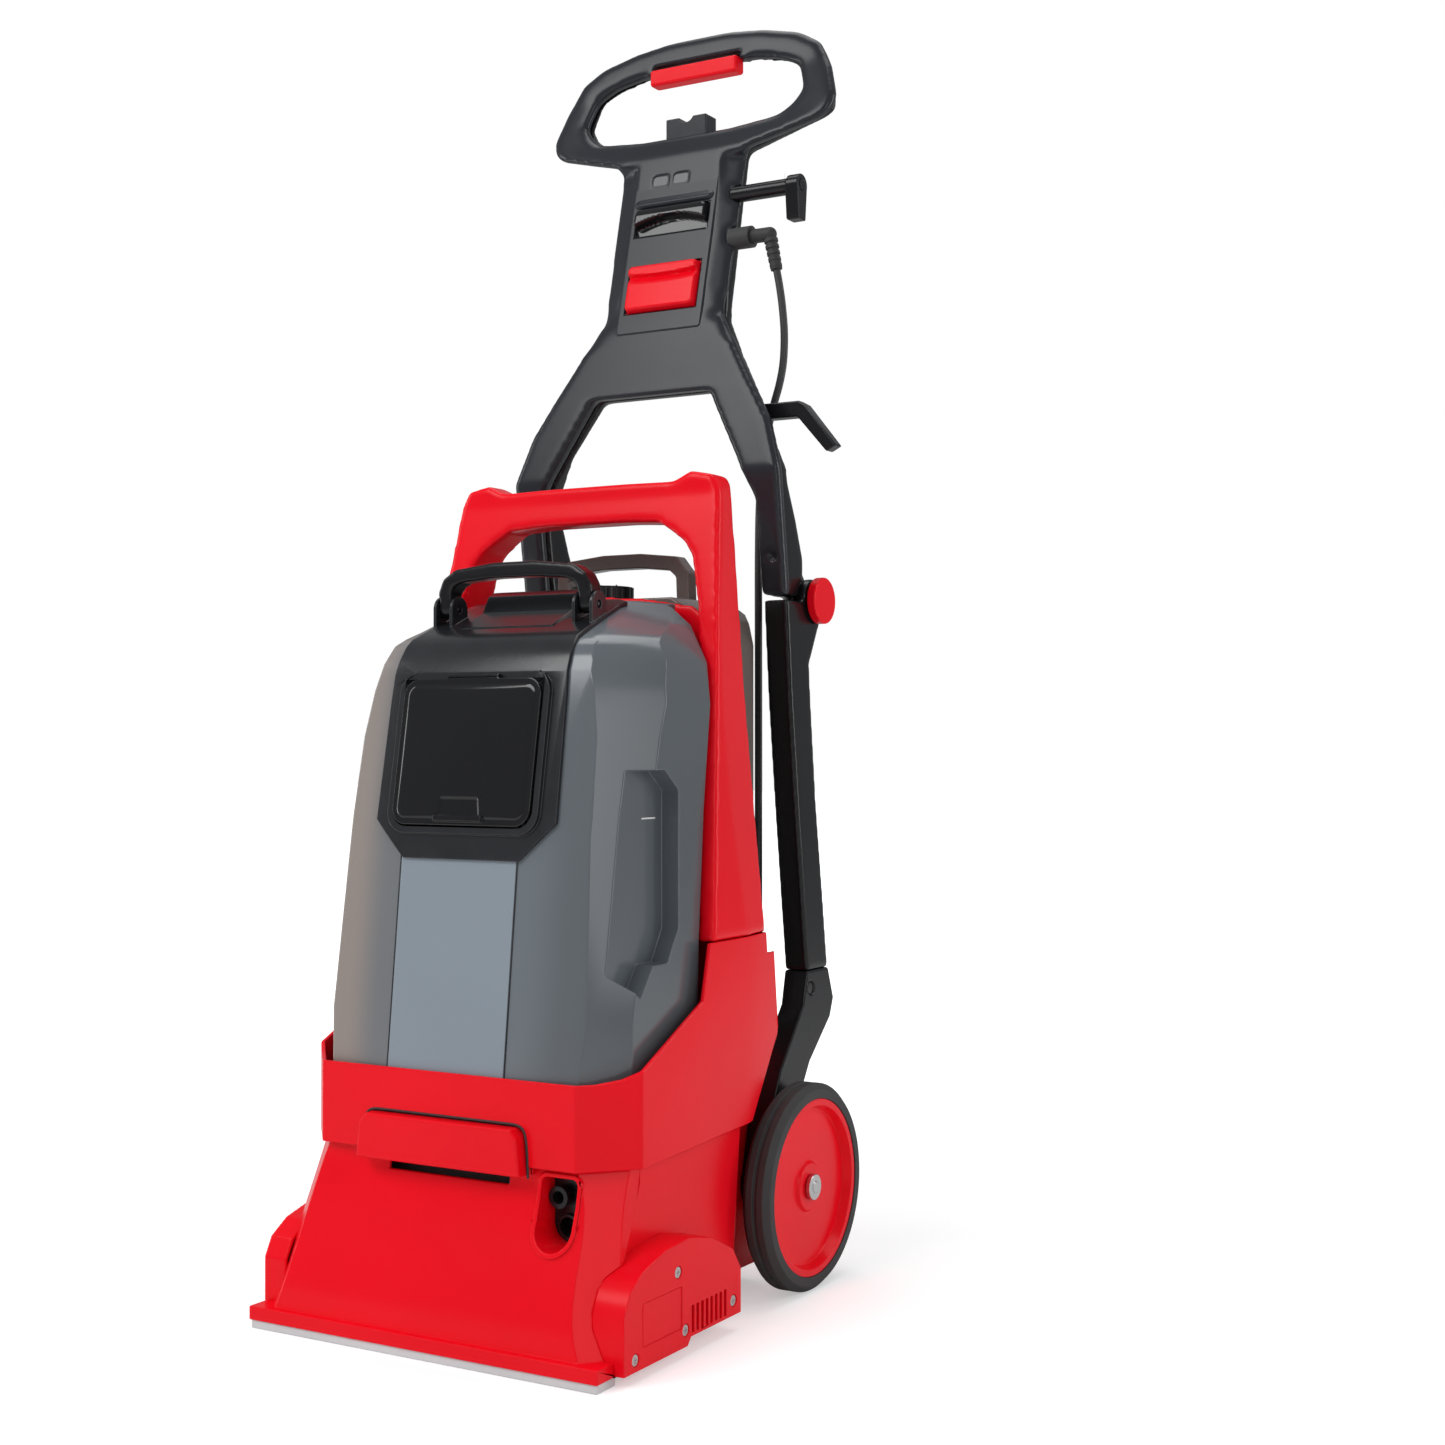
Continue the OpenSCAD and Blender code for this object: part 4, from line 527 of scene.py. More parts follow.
class Workshop:
    """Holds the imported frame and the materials, and finishes pieces."""

    merge: float = 0.03  # corners closer than this are joined, in mm
    flat: float = 1.0  # faces within this of one plane are made one, in degrees
    shaded: float = 40.0  # edges turning by less than this are shaded smooth, in degrees
    bevelled: float = 32.0  # edges turning by more than this are rounded, in degrees
    bevel_faces: int = 3  # faces across a rounding
    relaxed: float = 0.5  # share of the way that a point goes in one round of smoothing

    def __init__(self, frame: dict) -> None:
        """Keeps the frame and makes the shared shader groups.
        """
        self.nodes: dict[str, bpy.types.Object] = frame["nodes"]
        self.body_of: dict[str, str] = {
            node: body
            for body, members in frame["record"]["behaviour"]["bodies"].items()
            for node in members
        }
        self.effects = EffectLibrary()
        self.materials: dict[str, bpy.types.Material] = {}

    def material(self, finish: Finish) -> bpy.types.Material:
        """Returns the finish's material, made on first use."""
        if finish.name not in self.materials:
            self.materials[finish.name] = finish.build(self.effects)
        return self.materials[finish.name]

    def dress(self, piece: bpy.types.Object, finish: Finish) -> None:
        """Gives a piece one finish all over.

        Args:
            piece: The piece or CAD node.
            finish: Its finish.
        """
        if not piece.data.materials:
            piece.data.materials.append(self.material(finish))
        for index in range(len(piece.material_slots)):
            piece.material_slots[index].link = "OBJECT"
            piece.material_slots[index].material = self.material(finish)

    def own(self, piece: bpy.types.Object, body: str, finish: Finish) -> bpy.types.Object:
        """Finishes a new piece: its material and its body.

        Args:
            piece: The new piece, in place.
            body: The CAD body that it moves with.
            finish: Its finish.

        Returns:
            The piece.
        """
        piece.data.materials.clear()
        piece.data.materials.append(self.material(finish))
        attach(piece, body)
        return piece

    def _copy(self, node: str) -> bpy.types.Object:
        """Copies a CAD node's solid, without its shading, as the active object."""
        piece = bpy.data.objects.new(node + "_moulding", self.nodes[node].data.copy())
        ROOT_COLLECTION.objects.link(piece)
        take(piece)
        bpy.ops.mesh.customdata_custom_splitnormals_clear()
        return piece

    def _stand_in(self, piece: bpy.types.Object, node: str, finish: Finish) -> bpy.types.Object:
        """Finishes a copy and puts it in the place of its CAD node."""
        self.own(piece, self.body_of[node], finish)
        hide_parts(node)
        return piece

    def rounded(self, node: str, finish: Finish, width: float) -> bpy.types.Object:
        """Copies a CAD node's solid and rounds its edges, as a mould leaves them.

        Args:
            node: The CAD node, which the copy replaces.
            finish: The finish of the copy.
            width: Width of the rounding, in mm.

        Returns:
            The rounded copy.
        """
        piece = self._copy(node)
        bpy.ops.object.mode_set(mode="EDIT")
        bpy.ops.mesh.select_all(action="SELECT")
        bpy.ops.mesh.remove_doubles(threshold=self.merge * MM)
        bpy.ops.mesh.dissolve_limited(angle_limit=math.radians(self.flat))
        bpy.ops.object.mode_set(mode="OBJECT")
        bpy.ops.object.shade_smooth_by_angle(angle=math.radians(self.shaded))
        if width > 0:
            bevel = piece.modifiers.new("edges", "BEVEL")
            bevel.width = width * MM
            bevel.segments = self.bevel_faces
            bevel.limit_method = "ANGLE"
            bevel.angle_limit = math.radians(self.bevelled)
            bevel.use_clamp_overlap = False
            bevel.miter_outer = "MITER_ARC"
            bevel.harden_normals = True
            bpy.ops.object.modifier_apply(modifier=bevel.name)
        return self._stand_in(piece, node, finish)

    def softened(
        self,
        node: str,
        finish: Finish,
        voxel: float,
        rounds: int,
        shares: Sequence[tuple[int, Callable[[Vector], float]]] = (),
    ) -> bpy.types.Object:
        """Copies a CAD node's solid and softens all its edges evenly.

        Args:
            node: The CAD node, which the copy replaces.
            finish: The finish of the copy.
            voxel: Size of the new faces, in mm.
            rounds: Rounds of smoothing all over; more of them give rounder edges.
            shares: Further rounds, each with the share of them that a place takes.

        Returns:
            The softened copy.
        """
        piece = self._copy(node)
        remesh = piece.modifiers.new("skin", "REMESH")
        remesh.mode = "VOXEL"
        remesh.voxel_size = voxel * MM
        remesh.use_smooth_shade = True
        bpy.ops.object.modifier_apply(modifier=remesh.name)
        for count, share in ((rounds, None), *shares):
            relax = piece.modifiers.new("relax", "SMOOTH")
            relax.factor = self.relaxed
            relax.iterations = count
            if share is not None:
                group = piece.vertex_groups.new(name="share")
                for vertex in piece.data.vertices:
                    group.add([vertex.index], share(vertex.co), "REPLACE")
                relax.vertex_group = group.name
            bpy.ops.object.modifier_apply(modifier=relax.name)
            piece.vertex_groups.clear()
        return self._stand_in(piece, node, finish)


def take(piece: bpy.types.Object) -> None:
    """Makes a piece the only selected and the active object."""
    bpy.ops.object.select_all(action="DESELECT")
    piece.select_set(True)
    bpy.context.view_layer.objects.active = piece


# ---- ways to make a piece ---------------------------------------------------

# Edges turning by less than this are shaded smooth, on rounded pieces, blocks and tubes.
SMOOTH_ROUNDED = math.radians(35)
SMOOTH_BLOCK = math.radians(50)
SMOOTH_TUBE = math.radians(60)


def mesh_piece(
    name: str, vertices: Sequence[Vector], faces: Sequence[Sequence[int]]
) -> bpy.types.Object:
    """Makes a mesh object.

    Args:
        name: Name of the new object.
        vertices: Its corners, in metres.
        faces: Its faces.

    Returns:
        The object, selected and active.
    """
    mesh = bpy.data.meshes.new(name)
    mesh.from_pydata([tuple(v) for v in vertices], [], [tuple(f) for f in faces])
    mesh.update()
    piece = bpy.data.objects.new(name, mesh)
    ROOT_COLLECTION.objects.link(piece)
    take(piece)
    return piece


def closed_piece(
    name: str, vertices: Sequence[Vector], faces: Sequence[Sequence[int]]
) -> bpy.types.Object:
    """Makes a closed mesh object, as mesh_piece() does, and turns its faces outwards.

    Args:
        name: Name of the new object.
        vertices: Its corners, in metres.
        faces: Its faces, turned either way.

    Returns:
        The object, selected and active.
    """
    piece = mesh_piece(name, vertices, faces)
    bpy.ops.object.mode_set(mode="EDIT")
    bpy.ops.mesh.select_all(action="SELECT")
    bpy.ops.mesh.normals_make_consistent(inside=False)
    bpy.ops.object.mode_set(mode="OBJECT")
    return piece


def ring_mesh(name: str, rings: Sequence[Sequence[Vector]]) -> bpy.types.Object:
    """Joins closed rings of points, each to the next and the last to the first.

    Args:
        name: Name of the new object.
        rings: The rings, all with the same number of points.

    Returns:
        The closed piece.
    """
    count = len(rings[0])
    vertices = [point for ring in rings for point in ring]
    faces = []
    for i in range(len(rings)):
        j = (i + 1) % len(rings)
        for k in range(count):
            n = (k + 1) % count
            faces.append((i * count + k, i * count + n, j * count + n, j * count + k))
    return closed_piece(name, vertices, faces)


def slab(
    name: str, front: Sequence[Vector], rear: Sequence[Vector], row: int
) -> bpy.types.Object:
    """Closes two grids of points into a block.

    Args:
        name: Name of the new object.
        front: The front's points, row by row.
        rear: The rear's points, each behind the front's.
        row: Number of points in a row.

    Returns:
        The closed block.
    """
    total, rows, last = len(front), len(front) // row - 1, row - 1
    faces = []
    for j in range(rows):
        for i in range(last):
            a = j * row + i
            quad = (a, a + 1, a + row + 1, a + row)
            faces.append(quad)
            faces.append(tuple(total + k for k in reversed(quad)))
    rim = (list(range(last)) + [last + j * row for j in range(rows)]
           + [rows * row + i for i in range(last, 0, -1)] + [j * row for j in range(rows, 0, -1)])
    for a, b in zip(rim, rim[1:] + rim[:1]):
        faces.append((a, total + a, total + b, b))
    return closed_piece(name, [*front, *rear], faces)


def bevel_edges(piece: bpy.types.Object, width: float, segments: int) -> None:
    """Rounds a new piece's sharp edges.

    Args:
        piece: The piece, which is the active object.
        width: Width of the rounding, in mm.
        segments: Faces across it.
    """
    bpy.ops.object.shade_smooth_by_angle(angle=SMOOTH_ROUNDED)
    bevel = piece.modifiers.new("edges", "BEVEL")
    bevel.width = width * MM
    bevel.segments = segments
    bevel.limit_method = "ANGLE"
    bevel.angle_limit = SMOOTH_ROUNDED
    bevel.harden_normals = True
    bpy.ops.object.modifier_apply(modifier=bevel.name)


def block_axes(place: Vector, degrees: float, axis: str) -> Matrix:
    """Puts a block's own axes (across, inwards, up; in mm) in the model.

    Args:
        place: Where the block's middle goes.
        degrees: How far the block is turned.
        axis: The axis that it is turned about.

    Returns:
        The matrix from the block's axes to the model's.
    """
    turn = Matrix.Rotation(math.radians(degrees), 4, axis)
    return Matrix.Translation(place) @ turn @ Matrix.Scale(MM, 4)


def fade(u: float, v: float, size: tuple[float, float], edge: float) -> float:
    """Rises as a quarter round from 0 on a block's outline to 1 inside it.

    Args:
        u: Place across the block, from its middle.
        v: Place up the block, from its middle.
        size: The block's width and height.
        edge: Width of the rise; the outline's corners are rounded twice as far.

    Returns:
        The share of the rise.
    """
    x, y = size[0] / 2 - abs(u), size[1] / 2 - abs(v)
    corner = 2 * edge
    near = min(x, y)
    if max(x, y) <= corner:
        near = corner - math.hypot(corner - min(x, corner), corner - min(y, corner))
    return math.sqrt(1 - (1 - share_of(near, 0.0, edge)) ** 2)


def relief_block(
    name: str,
    size: tuple[float, float],
    back: float,
    height: Callable[[float, float], float],
    place: Matrix,
    step: float = 1.0,
) -> bpy.types.Object:
    """Makes a button-like block whose front follows a height function.

    Args:
        name: Name of the new object.
        size: Its width and height, in mm.
        back: Depth of its flat back behind the surface that it sits in, in mm.
        height: Gives the front's height over that surface at a place, in mm.
        place: Puts the block's own axes (across, inwards, up; in mm) in the model.
        step: Distance between its points, in mm.

    Returns:
        The closed block.
    """
    nu, nv = round(size[0] / step), round(size[1] / step)
    front, rear = [], []
    for j in range(nv + 1):
        for i in range(nu + 1):
            u = size[0] * (i / nu - 0.5)
            v = size[1] * (j / nv - 0.5)
            front.append(place @ Vector((u, -height(u, v), v)))
            rear.append(place @ Vector((u, back, v)))
    piece = slab(name, front, rear, nu + 1)
    bpy.ops.object.shade_smooth_by_angle(angle=SMOOTH_BLOCK)
    return piece


def smooth_line(points: Sequence[Vector], steps: int) -> list[Vector]:
    """Runs a smooth curve through points.

    Args:
        points: The points to pass.
        steps: Number of pieces between two points.

    Returns:
        The curve's points, with the first and the last as given.
    """
    line: list[Vector] = []
    for i in range(len(points) - 1):
        p0 = points[max(i - 1, 0)]
        p1, p2 = points[i], points[i + 1]
        p3 = points[min(i + 2, len(points) - 1)]
        for step in range(steps):
            t = step / steps
            line.append(
                0.5 * ((2 * p1) + (p2 - p0) * t + (2 * p0 - 5 * p1 + 4 * p2 - p3) * t * t
                       + (3 * p1 - p0 - 3 * p2 + p3) * t * t * t)
            )
    line.append(points[-1])
    return line


def sweep(name: str, path: Sequence[Vector], radius: float, sides: int = 8) -> bpy.types.Object:
    """Sweeps a round section along a path that doesn't close.

    Args:
        name: Name of the new object.
        path: The middle line.
        radius: Radius of the section, in metres.
        sides: Number of its sides.

    Returns:
        A closed tube.
    """
    side = Vector((1, 0, 0))
    vertices: list[Vector] = []
    for i, point in enumerate(path):
        ahead = path[min(i + 1, len(path) - 1)] - path[max(i - 1, 0)]
        ahead.normalize()
        side = (side - ahead * side.dot(ahead)).normalized()
        up = ahead.cross(side)
        for k in range(sides):
            angle = 2 * math.pi * k / sides
            vertices.append(point + radius * (math.cos(angle) * side + math.sin(angle) * up))
    faces: list[tuple[int, ...]] = [tuple(reversed(range(sides)))]
    for i in range(len(path) - 1):
        for k in range(sides):
            n = (k + 1) % sides
            faces.append((i * sides + k, i * sides + n, (i + 1) * sides + n, (i + 1) * sides + k))
    last = (len(path) - 1) * sides
    faces.append(tuple(last + k for k in range(sides)))
    piece = mesh_piece(name, vertices, faces)
    bpy.ops.object.shade_smooth_by_angle(angle=SMOOTH_TUBE)
    return piece


# ---- stage ------------------------------------------------------------------


@dataclass(frozen=True)
class Lamp:
    """One soft lamp.

    Args:
        name: Its name.
        place: Where it hangs.
        target: What it points at.
        size: Its width and height.
        power: Its power in watts.
    """

    name: str
    place: Point
    target: Point
    size: tuple[float, float]
    power: float

    def build(self) -> None:
        """Hangs the lamp."""
        data = bpy.data.lights.new(self.name, "AREA")
        data.shape = "RECTANGLE"
        data.size, data.size_y = self.size
        data.energy = self.power
        lamp = bpy.data.objects.new(self.name, data)
        lamp.location = self.place
        aim = Vector(self.target) - Vector(self.place)
        lamp.rotation_euler = aim.to_track_quat("-Z", "Y").to_euler()
        ROOT_COLLECTION.objects.link(lamp)


@dataclass
class Stage:
    """The floor, the surroundings, the lamps and the camera.

    Args:
        camera_place: Where the camera stands, in metres.
        camera_turn: How it is turned, in degrees.
        lens: Its focal length, in mm.
        sensor: Width of its sensor, in mm.
        view_end: How far it sees, in metres.
        floor_size: Side of the square floor, in metres.
        paper: Grey level of the floor.
        glow_span: Distances from the origin at which the floor's glow grows, in metres.
        glow_near: The glow at the nearer of them.
        sky: Colour of the soft light from all round.
        sky_strength: Its strength.
        lamps: The lamps.
    """

    camera_place: Point = (0.97835, -1.43789, 0.47602)
    camera_turn: Point = (90.4968, 0.0, 30.0608)
    lens: float = 49.966
    sensor: float = 36.0
    view_end: float = 100.0
    floor_size: float = 30.0
    paper: float = 0.82
    glow_span: tuple[float, float] = (0.5, 2.2)
    glow_near: float = 0.42
    sky: Colour = (0.95, 0.97, 1.0)
    sky_strength: float = 0.30
    lamps: list[Lamp] = field(
        default_factory=lambda: [
            Lamp("key", (-1.0, -2.7, 2.9), (0.0, 0.0, 0.5), (2.4, 1.6), 62.0),
            Lamp("fill", (2.7, -1.6, 1.3), (0.0, 0.0, 0.5), (1.6, 1.8), 15.0),
            Lamp("top", (0.0, 0.5, 3.1), (0.0, 0.0, 0.4), (2.2, 1.8), 30.0),
            Lamp("strip", (-2.2, -0.9, 0.9), (0.0, 0.0, 0.6), (0.35, 2.2), 12.0),
            Lamp("rim", (2.0, 1.4, 1.1), (0.0, 0.1, 0.6), (0.5, 2.0), 14.0),
        ]
    )

    def build(self) -> None:
        """Makes the whole stage."""
        self._camera()
        self._floor()
        self._world()
        for lamp in self.lamps:
            lamp.build()
        bpy.context.scene.view_settings.view_transform = "Standard"

    def _camera(self) -> None:
        """Makes the camera."""
        data = bpy.data.cameras.new("camera")
        data.lens = self.lens
        data.sensor_width = self.sensor
        data.clip_end = self.view_end
        camera = bpy.data.objects.new("camera", data)
        camera.location = self.camera_place
        camera.rotation_euler = [math.radians(turn) for turn in self.camera_turn]
        ROOT_COLLECTION.objects.link(camera)
        bpy.context.scene.camera = camera

    def _floor(self) -> None:
        """Makes the plain pale floor, which glows where it is seen away from the machine."""
        bpy.ops.object.select_all(action="DESELECT")
        bpy.ops.mesh.primitive_plane_add(size=self.floor_size, location=(0, 0, 0))
        floor = bpy.context.active_object
        floor.name = "floor"
        material = bpy.data.materials.new("floor_paper")
        material.use_nodes = True
        tree = material.node_tree
        tree.nodes.remove(tree.nodes["Principled BSDF"])
        paper = add_node(
            tree, "BsdfDiffuse", {"Color": (self.paper, self.paper, self.paper, 1.0)})
        place = add_node(tree, "TexCoord", {}).outputs["Object"]
        reach = tree.nodes.new("ShaderNodeVectorMath")
        reach.operation = "LENGTH"
        feed(tree, reach, {0: place})
        away = stretch(tree, reach.outputs["Value"], *self.glow_span, self.glow_near)
        path = add_node(tree, "LightPath", {})
        seen = calculate(tree, "MULTIPLY", path.outputs["Is Camera Ray"], away)
        glow = add_node(tree, "Emission", {"Color": WHITE_LIGHT, "Strength": seen})
        both = add_node(tree, "AddShader", {0: paper.outputs[0], 1: glow.outputs[0]})
        feed(tree, tree.nodes["Material Output"], {"Surface": both.outputs[0]})
        floor.data.materials.append(material)

    def _world(self) -> None:
        """Makes the surroundings: soft light, and white where they are seen."""
        world = bpy.data.worlds.new("studio")
        bpy.context.scene.world = world
        world.use_nodes = True
        tree = world.node_tree
        light = tree.nodes["Background"]
        feed(tree, light, {"Color": (*self.sky, 1.0), "Strength": self.sky_strength})
        white = add_node(tree, "Background", {"Color": WHITE_LIGHT, "Strength": 1.0})
        path = add_node(tree, "LightPath", {})
        mix = add_node(tree, "MixShader", {
            "Fac": path.outputs["Is Camera Ray"], 1: light.outputs[0], 2: white.outputs[0],
        })
        feed(tree, tree.nodes["World Output"], {"Surface": mix.outputs[0]})


# ---- cord -------------------------------------------------------------------


@dataclass
class PowerCord:
    """The power cord, from its boot down to a coil behind the machine.

    Args:
        radius: Radius of the cord.
        coil_centre: Middle of the coil, as a place across and a depth.
        inner: Radius of the coil's innermost turn.
        outer: Radius of its outermost turn.
        pitch: Distance between two turns.
        layers: Heights of the coil's layers.
        coil_steps: Points in a turn.
        drop_steps: Pieces between two points of the drop.
        end_steps: Pieces between two points of the end.
        sides: Sides of the cord's section.
        plug_entry: Where the cord enters its plug.
        drop: Points of the stretch from the boot to the coil.
    """

    radius: float = 3.5
    coil_centre: tuple[float, float] = (-20.0, 440.0)
    inner: float = 35.0
    outer: float = 77.0
    pitch: float = 7.0
    layers: tuple[float, float, float] = (4.0, 11.0, 18.0)
    coil_steps: int = 30
    drop_steps: int = 4
    end_steps: int = 8
    sides: int = 10
    plug_entry: Point = (-76.0, 460.0, 32.0)
    drop: list[Point] = field(
        default_factory=lambda: [
            (107.1, 387, 904.6), (110, 387, 890), (113, 387, 870), (115, 387, 845),
            (114, 387, 820), (110, 387, 800), (103, 388, 780), (96, 389, 755),
            (91, 389, 725), (88, 389, 690), (87, 389, 640), (87, 389, 580),
            (87, 389, 500), (87, 389, 420), (87, 389, 340), (87, 389, 260),
            (87, 389, 180), (87, 389, 110), (86, 389, 70), (84, 390, 42),
            (80, 394, 22), (75, 402, 9), (69, 414, 4.5), (62, 427, 4), (57, 440, 4),
        ]
    )

    def _polar(self, turn: float, radius: float, height: float) -> Vector:
        """A place on the coil, from turns, a radius and a height."""
        angle = 2 * math.pi * turn
        x, y = self.coil_centre
        return at(x + radius * math.cos(angle), y + radius * math.sin(angle), height)

    def path(self) -> list[Vector]:
        """The cord's middle line, from the boot to the plug."""
        points = smooth_line([at(*point) for point in self.drop], self.drop_steps)
        turns = (self.outer - self.inner) / self.pitch
        low, middle, high = self.layers
        legs = [
            (turns, self.outer, self.inner, low, low),
            (0.5, self.inner, self.inner, low, middle),
            (turns, self.inner, self.outer, middle, middle),
            (0.5, self.outer, self.outer, middle, high),
            (turns, self.outer, self.inner, high, high),
        ]
        turn = 0.0
        for span, r0, r1, z0, z1 in legs:
            count = max(2, round(span * self.coil_steps))
            for step in range(1, count + 1):
                t = step / count
                height = z0 + (z1 - z0) * ease(t, 0.0, 1.0)
                points.append(self._polar(turn + span * t, r0 + (r1 - r0) * t, height))
            turn += span
        x, y, z = self.plug_entry
        ending = [
            points[-1],
            self._polar(turn + 0.08, self.inner + 0.5, 20.5),
            self._polar(turn + 0.17, self.inner + 3, 25.5),
            self._polar(turn + 0.26, self.inner + 10, 29.5),
            at(x + 17, y + 29, 31.6),
            at(x + 4, y + 17, z),
            at(x, y + 6, z),
            at(x, y - 1, z),
        ]
        return points + smooth_line(ending, self.end_steps)[1:]

    def build(self, shop: Workshop) -> None:
        """Args:
            shop: The workshop.
        """
        path = self.path()
        tube = sweep("power_cord", path, self.radius * MM, self.sides)
        tube.data.materials.append(shop.material(JACKET))
        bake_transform(tube)
        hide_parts("cord", "cord_coil")


@dataclass
class CoilTies:
    """The woven ties that hold the coiled cord together.

    Args:
        centre: Middle of the coil, as a place across and a depth.
        turns: Places of the ties around the coil, in degrees.
        reach: Distances of a tie's inner and outer side from the coil's middle.
        height: Heights of its lower and upper side.
        thickness: Its thickness at the sides and top, and under the coil.
        width: Its width.
        corner: Radius inside its corners.
        corner_steps: Faces round a corner.
        hem: Width of the rounding along its edges.
    """

    centre: tuple[float, float] = (-20.0, 440.0)
    turns: tuple[float, ...] = (225.0, 315.0)
    reach: tuple[float, float] = (31.2, 80.8)
    height: tuple[float, float] = (0.5, 21.8)
    thickness: tuple[float, float] = (1.3, 0.5)
    width: float = 11.0
    corner: float = 3.2
    corner_steps: int = 5
    hem: float = 0.35

    def build(self, shop: Workshop) -> None:
        """Makes every tie.

        Args:
            shop: The workshop.
        """
        for number, turn in enumerate(self.turns):
            self._tie(f"coil_tie_{number + 1}", math.radians(turn), shop)

    def _loop(self, grow: float, low: float) -> list[tuple[float, float]]:
        """The tie's outline, a rectangle with round corners, grown at its sides and top.

        Args:
            grow: How far the sides and the top go outwards, in mm.
            low: How far the bottom goes down, in mm.

        Returns:
            The outline's points, each as a reach from the coil's middle and a height.
        """
        x0, x1 = self.reach[0] - grow, self.reach[1] + grow
        z0, z1 = self.height[0] - low, self.height[1] + grow
        r = self.corner + grow
        corners_at = [(x1 - r, z1 - r, 0), (x0 + r, z1 - r, 90),
                      (x0 + r, z0 + r, 180), (x1 - r, z0 + r, 270)]
        loop = []
        for x, z, start in corners_at:
            for step in range(self.corner_steps + 1):
                angle = math.radians(start + 90 * step / self.corner_steps)
                loop.append((x + r * math.cos(angle), z + r * math.sin(angle)))
        return loop

    def _tie(self, name: str, turn: float, shop: Workshop) -> None:
        """Makes one tie.

        Args:
            name: Its name.
            turn: Its place around the coil, in radians.
            shop: The workshop.
        """
        inner = self._loop(0.0, 0.0)
        outer = self._loop(self.thickness[0], self.thickness[1])
        out = Vector((math.cos(turn), math.sin(turn), 0))
        along = Vector((-out.y, out.x, 0))
        middle = at(self.centre[0], self.centre[1], 0)
        rings = []
        for loop, side in ((inner, -0.5), (outer, -0.5), (outer, 0.5), (inner, 0.5)):
            rings.append([
                middle + out * (u * MM) + along * (side * self.width * MM)
                + Vector((0, 0, v * MM)) for u, v in loop
            ])
        piece = ring_mesh(name, rings)
        bevel_edges(piece, self.hem, 2)
        shop.own(piece, "base", WEBBING)


# ---- mouldings --------------------------------------------------------------


@dataclass(frozen=True)
class FrontShell:
    """Where the handle's front shell takes its further smoothing, in mm.

    Args:
        controls_half: Half the width that the controls' surroundings keep unsmoothed.
        controls_half_fade: Distance beside them over which the smoothing grows.
        controls_span: Heights that they keep unsmoothed.
        controls_span_fade: Distance over and under them over which the smoothing grows.
        pocket_half: Half the width of the trigger's pocket, which keeps its room.
        pocket_half_fade: Distance inside it over which the smoothing goes.
        pocket_span: Heights of the pocket.
        pocket_span_fade: Distances inside its foot and its head over which it goes.
        loop_span: Heights between which the grip loop's rounding grows.
        shoulder_half: Distances from the middle between which the blending grows.
        shoulder_height: Height at which mast and fork join.
        shoulder_reach: How far over and under it the blending goes.
        shoulder_fade: Distance inside that over which it grows.
        panel_rounds: Rounds of smoothing off the controls.
        loop_rounds: Rounds of rounding on the loop.
        shoulder_rounds: Rounds of blending on the shoulder.
    """

    controls_half: float = 42.0
    controls_half_fade: float = 12.0
    controls_span: tuple[float, float] = (870.0, 1014.0)
    controls_span_fade: float = 14.0
    pocket_half: float = 62.0
    pocket_half_fade: float = 10.0
    pocket_span: tuple[float, float] = (1092.0, 1138.0)
    pocket_span_fade: tuple[float, float] = (8.0, 6.0)
    loop_span: tuple[float, float] = (1030.0, 1052.0)
    shoulder_half: tuple[float, float] = (38.0, 50.0)
    shoulder_height: float = 864.0
    shoulder_reach: float = 30.0
    shoulder_fade: float = 18.0
    panel_rounds: int = 42
    loop_rounds: int = 60
    shoulder_rounds: int = 140

    def rounds(self) -> Sequence[tuple[int, Callable[[Vector], float]]]:
        """The further rounds, each with the share of them that a place takes."""
        return (
            (self.panel_rounds, self.on_panel),
            (self.loop_rounds, self.on_loop),
            (self.shoulder_rounds, self.on_shoulder),
        )

    def on_panel(self, place: Vector) -> float:
        """How much of the smoothing a place takes: none round the controls and the trigger."""
        x, z = abs(place.x) / MM, place.z / MM
        low, high = self.controls_span
        beside = share_of(x - self.controls_half, 0.0, self.controls_half_fade)
        under = share_of(low - z, 0.0, self.controls_span_fade)
        over = share_of(z - high, 0.0, self.controls_span_fade)
        return max(beside, under, over) * self._off_trigger(place)

    def on_loop(self, place: Vector) -> float:
        """How much of the rounding of the grip loop a place takes."""
        return ease(place.z / MM, *self.loop_span) * self._off_trigger(place)

    def on_shoulder(self, place: Vector) -> float:
        """How much a place is blended where mast and fork join."""
        x, z = abs(place.x) / MM, place.z / MM
        near = self.shoulder_reach - abs(z - self.shoulder_height)
        return ease(x, *self.shoulder_half) * ease(near, 0.0, self.shoulder_fade)

    def _off_trigger(self, place: Vector) -> float:
        """0 in the trigger's pocket, which keeps its room, and 1 elsewhere."""
        x, z = abs(place.x) / MM, place.z / MM
        low, high = self.pocket_span
        inside = ease(self.pocket_half - x, 0.0, self.pocket_half_fade)
        over = ease(z - low, 0.0, self.pocket_span_fade[0])
        under = ease(high - z, 0.0, self.pocket_span_fade[1])
        return 1.0 - inside * over * under


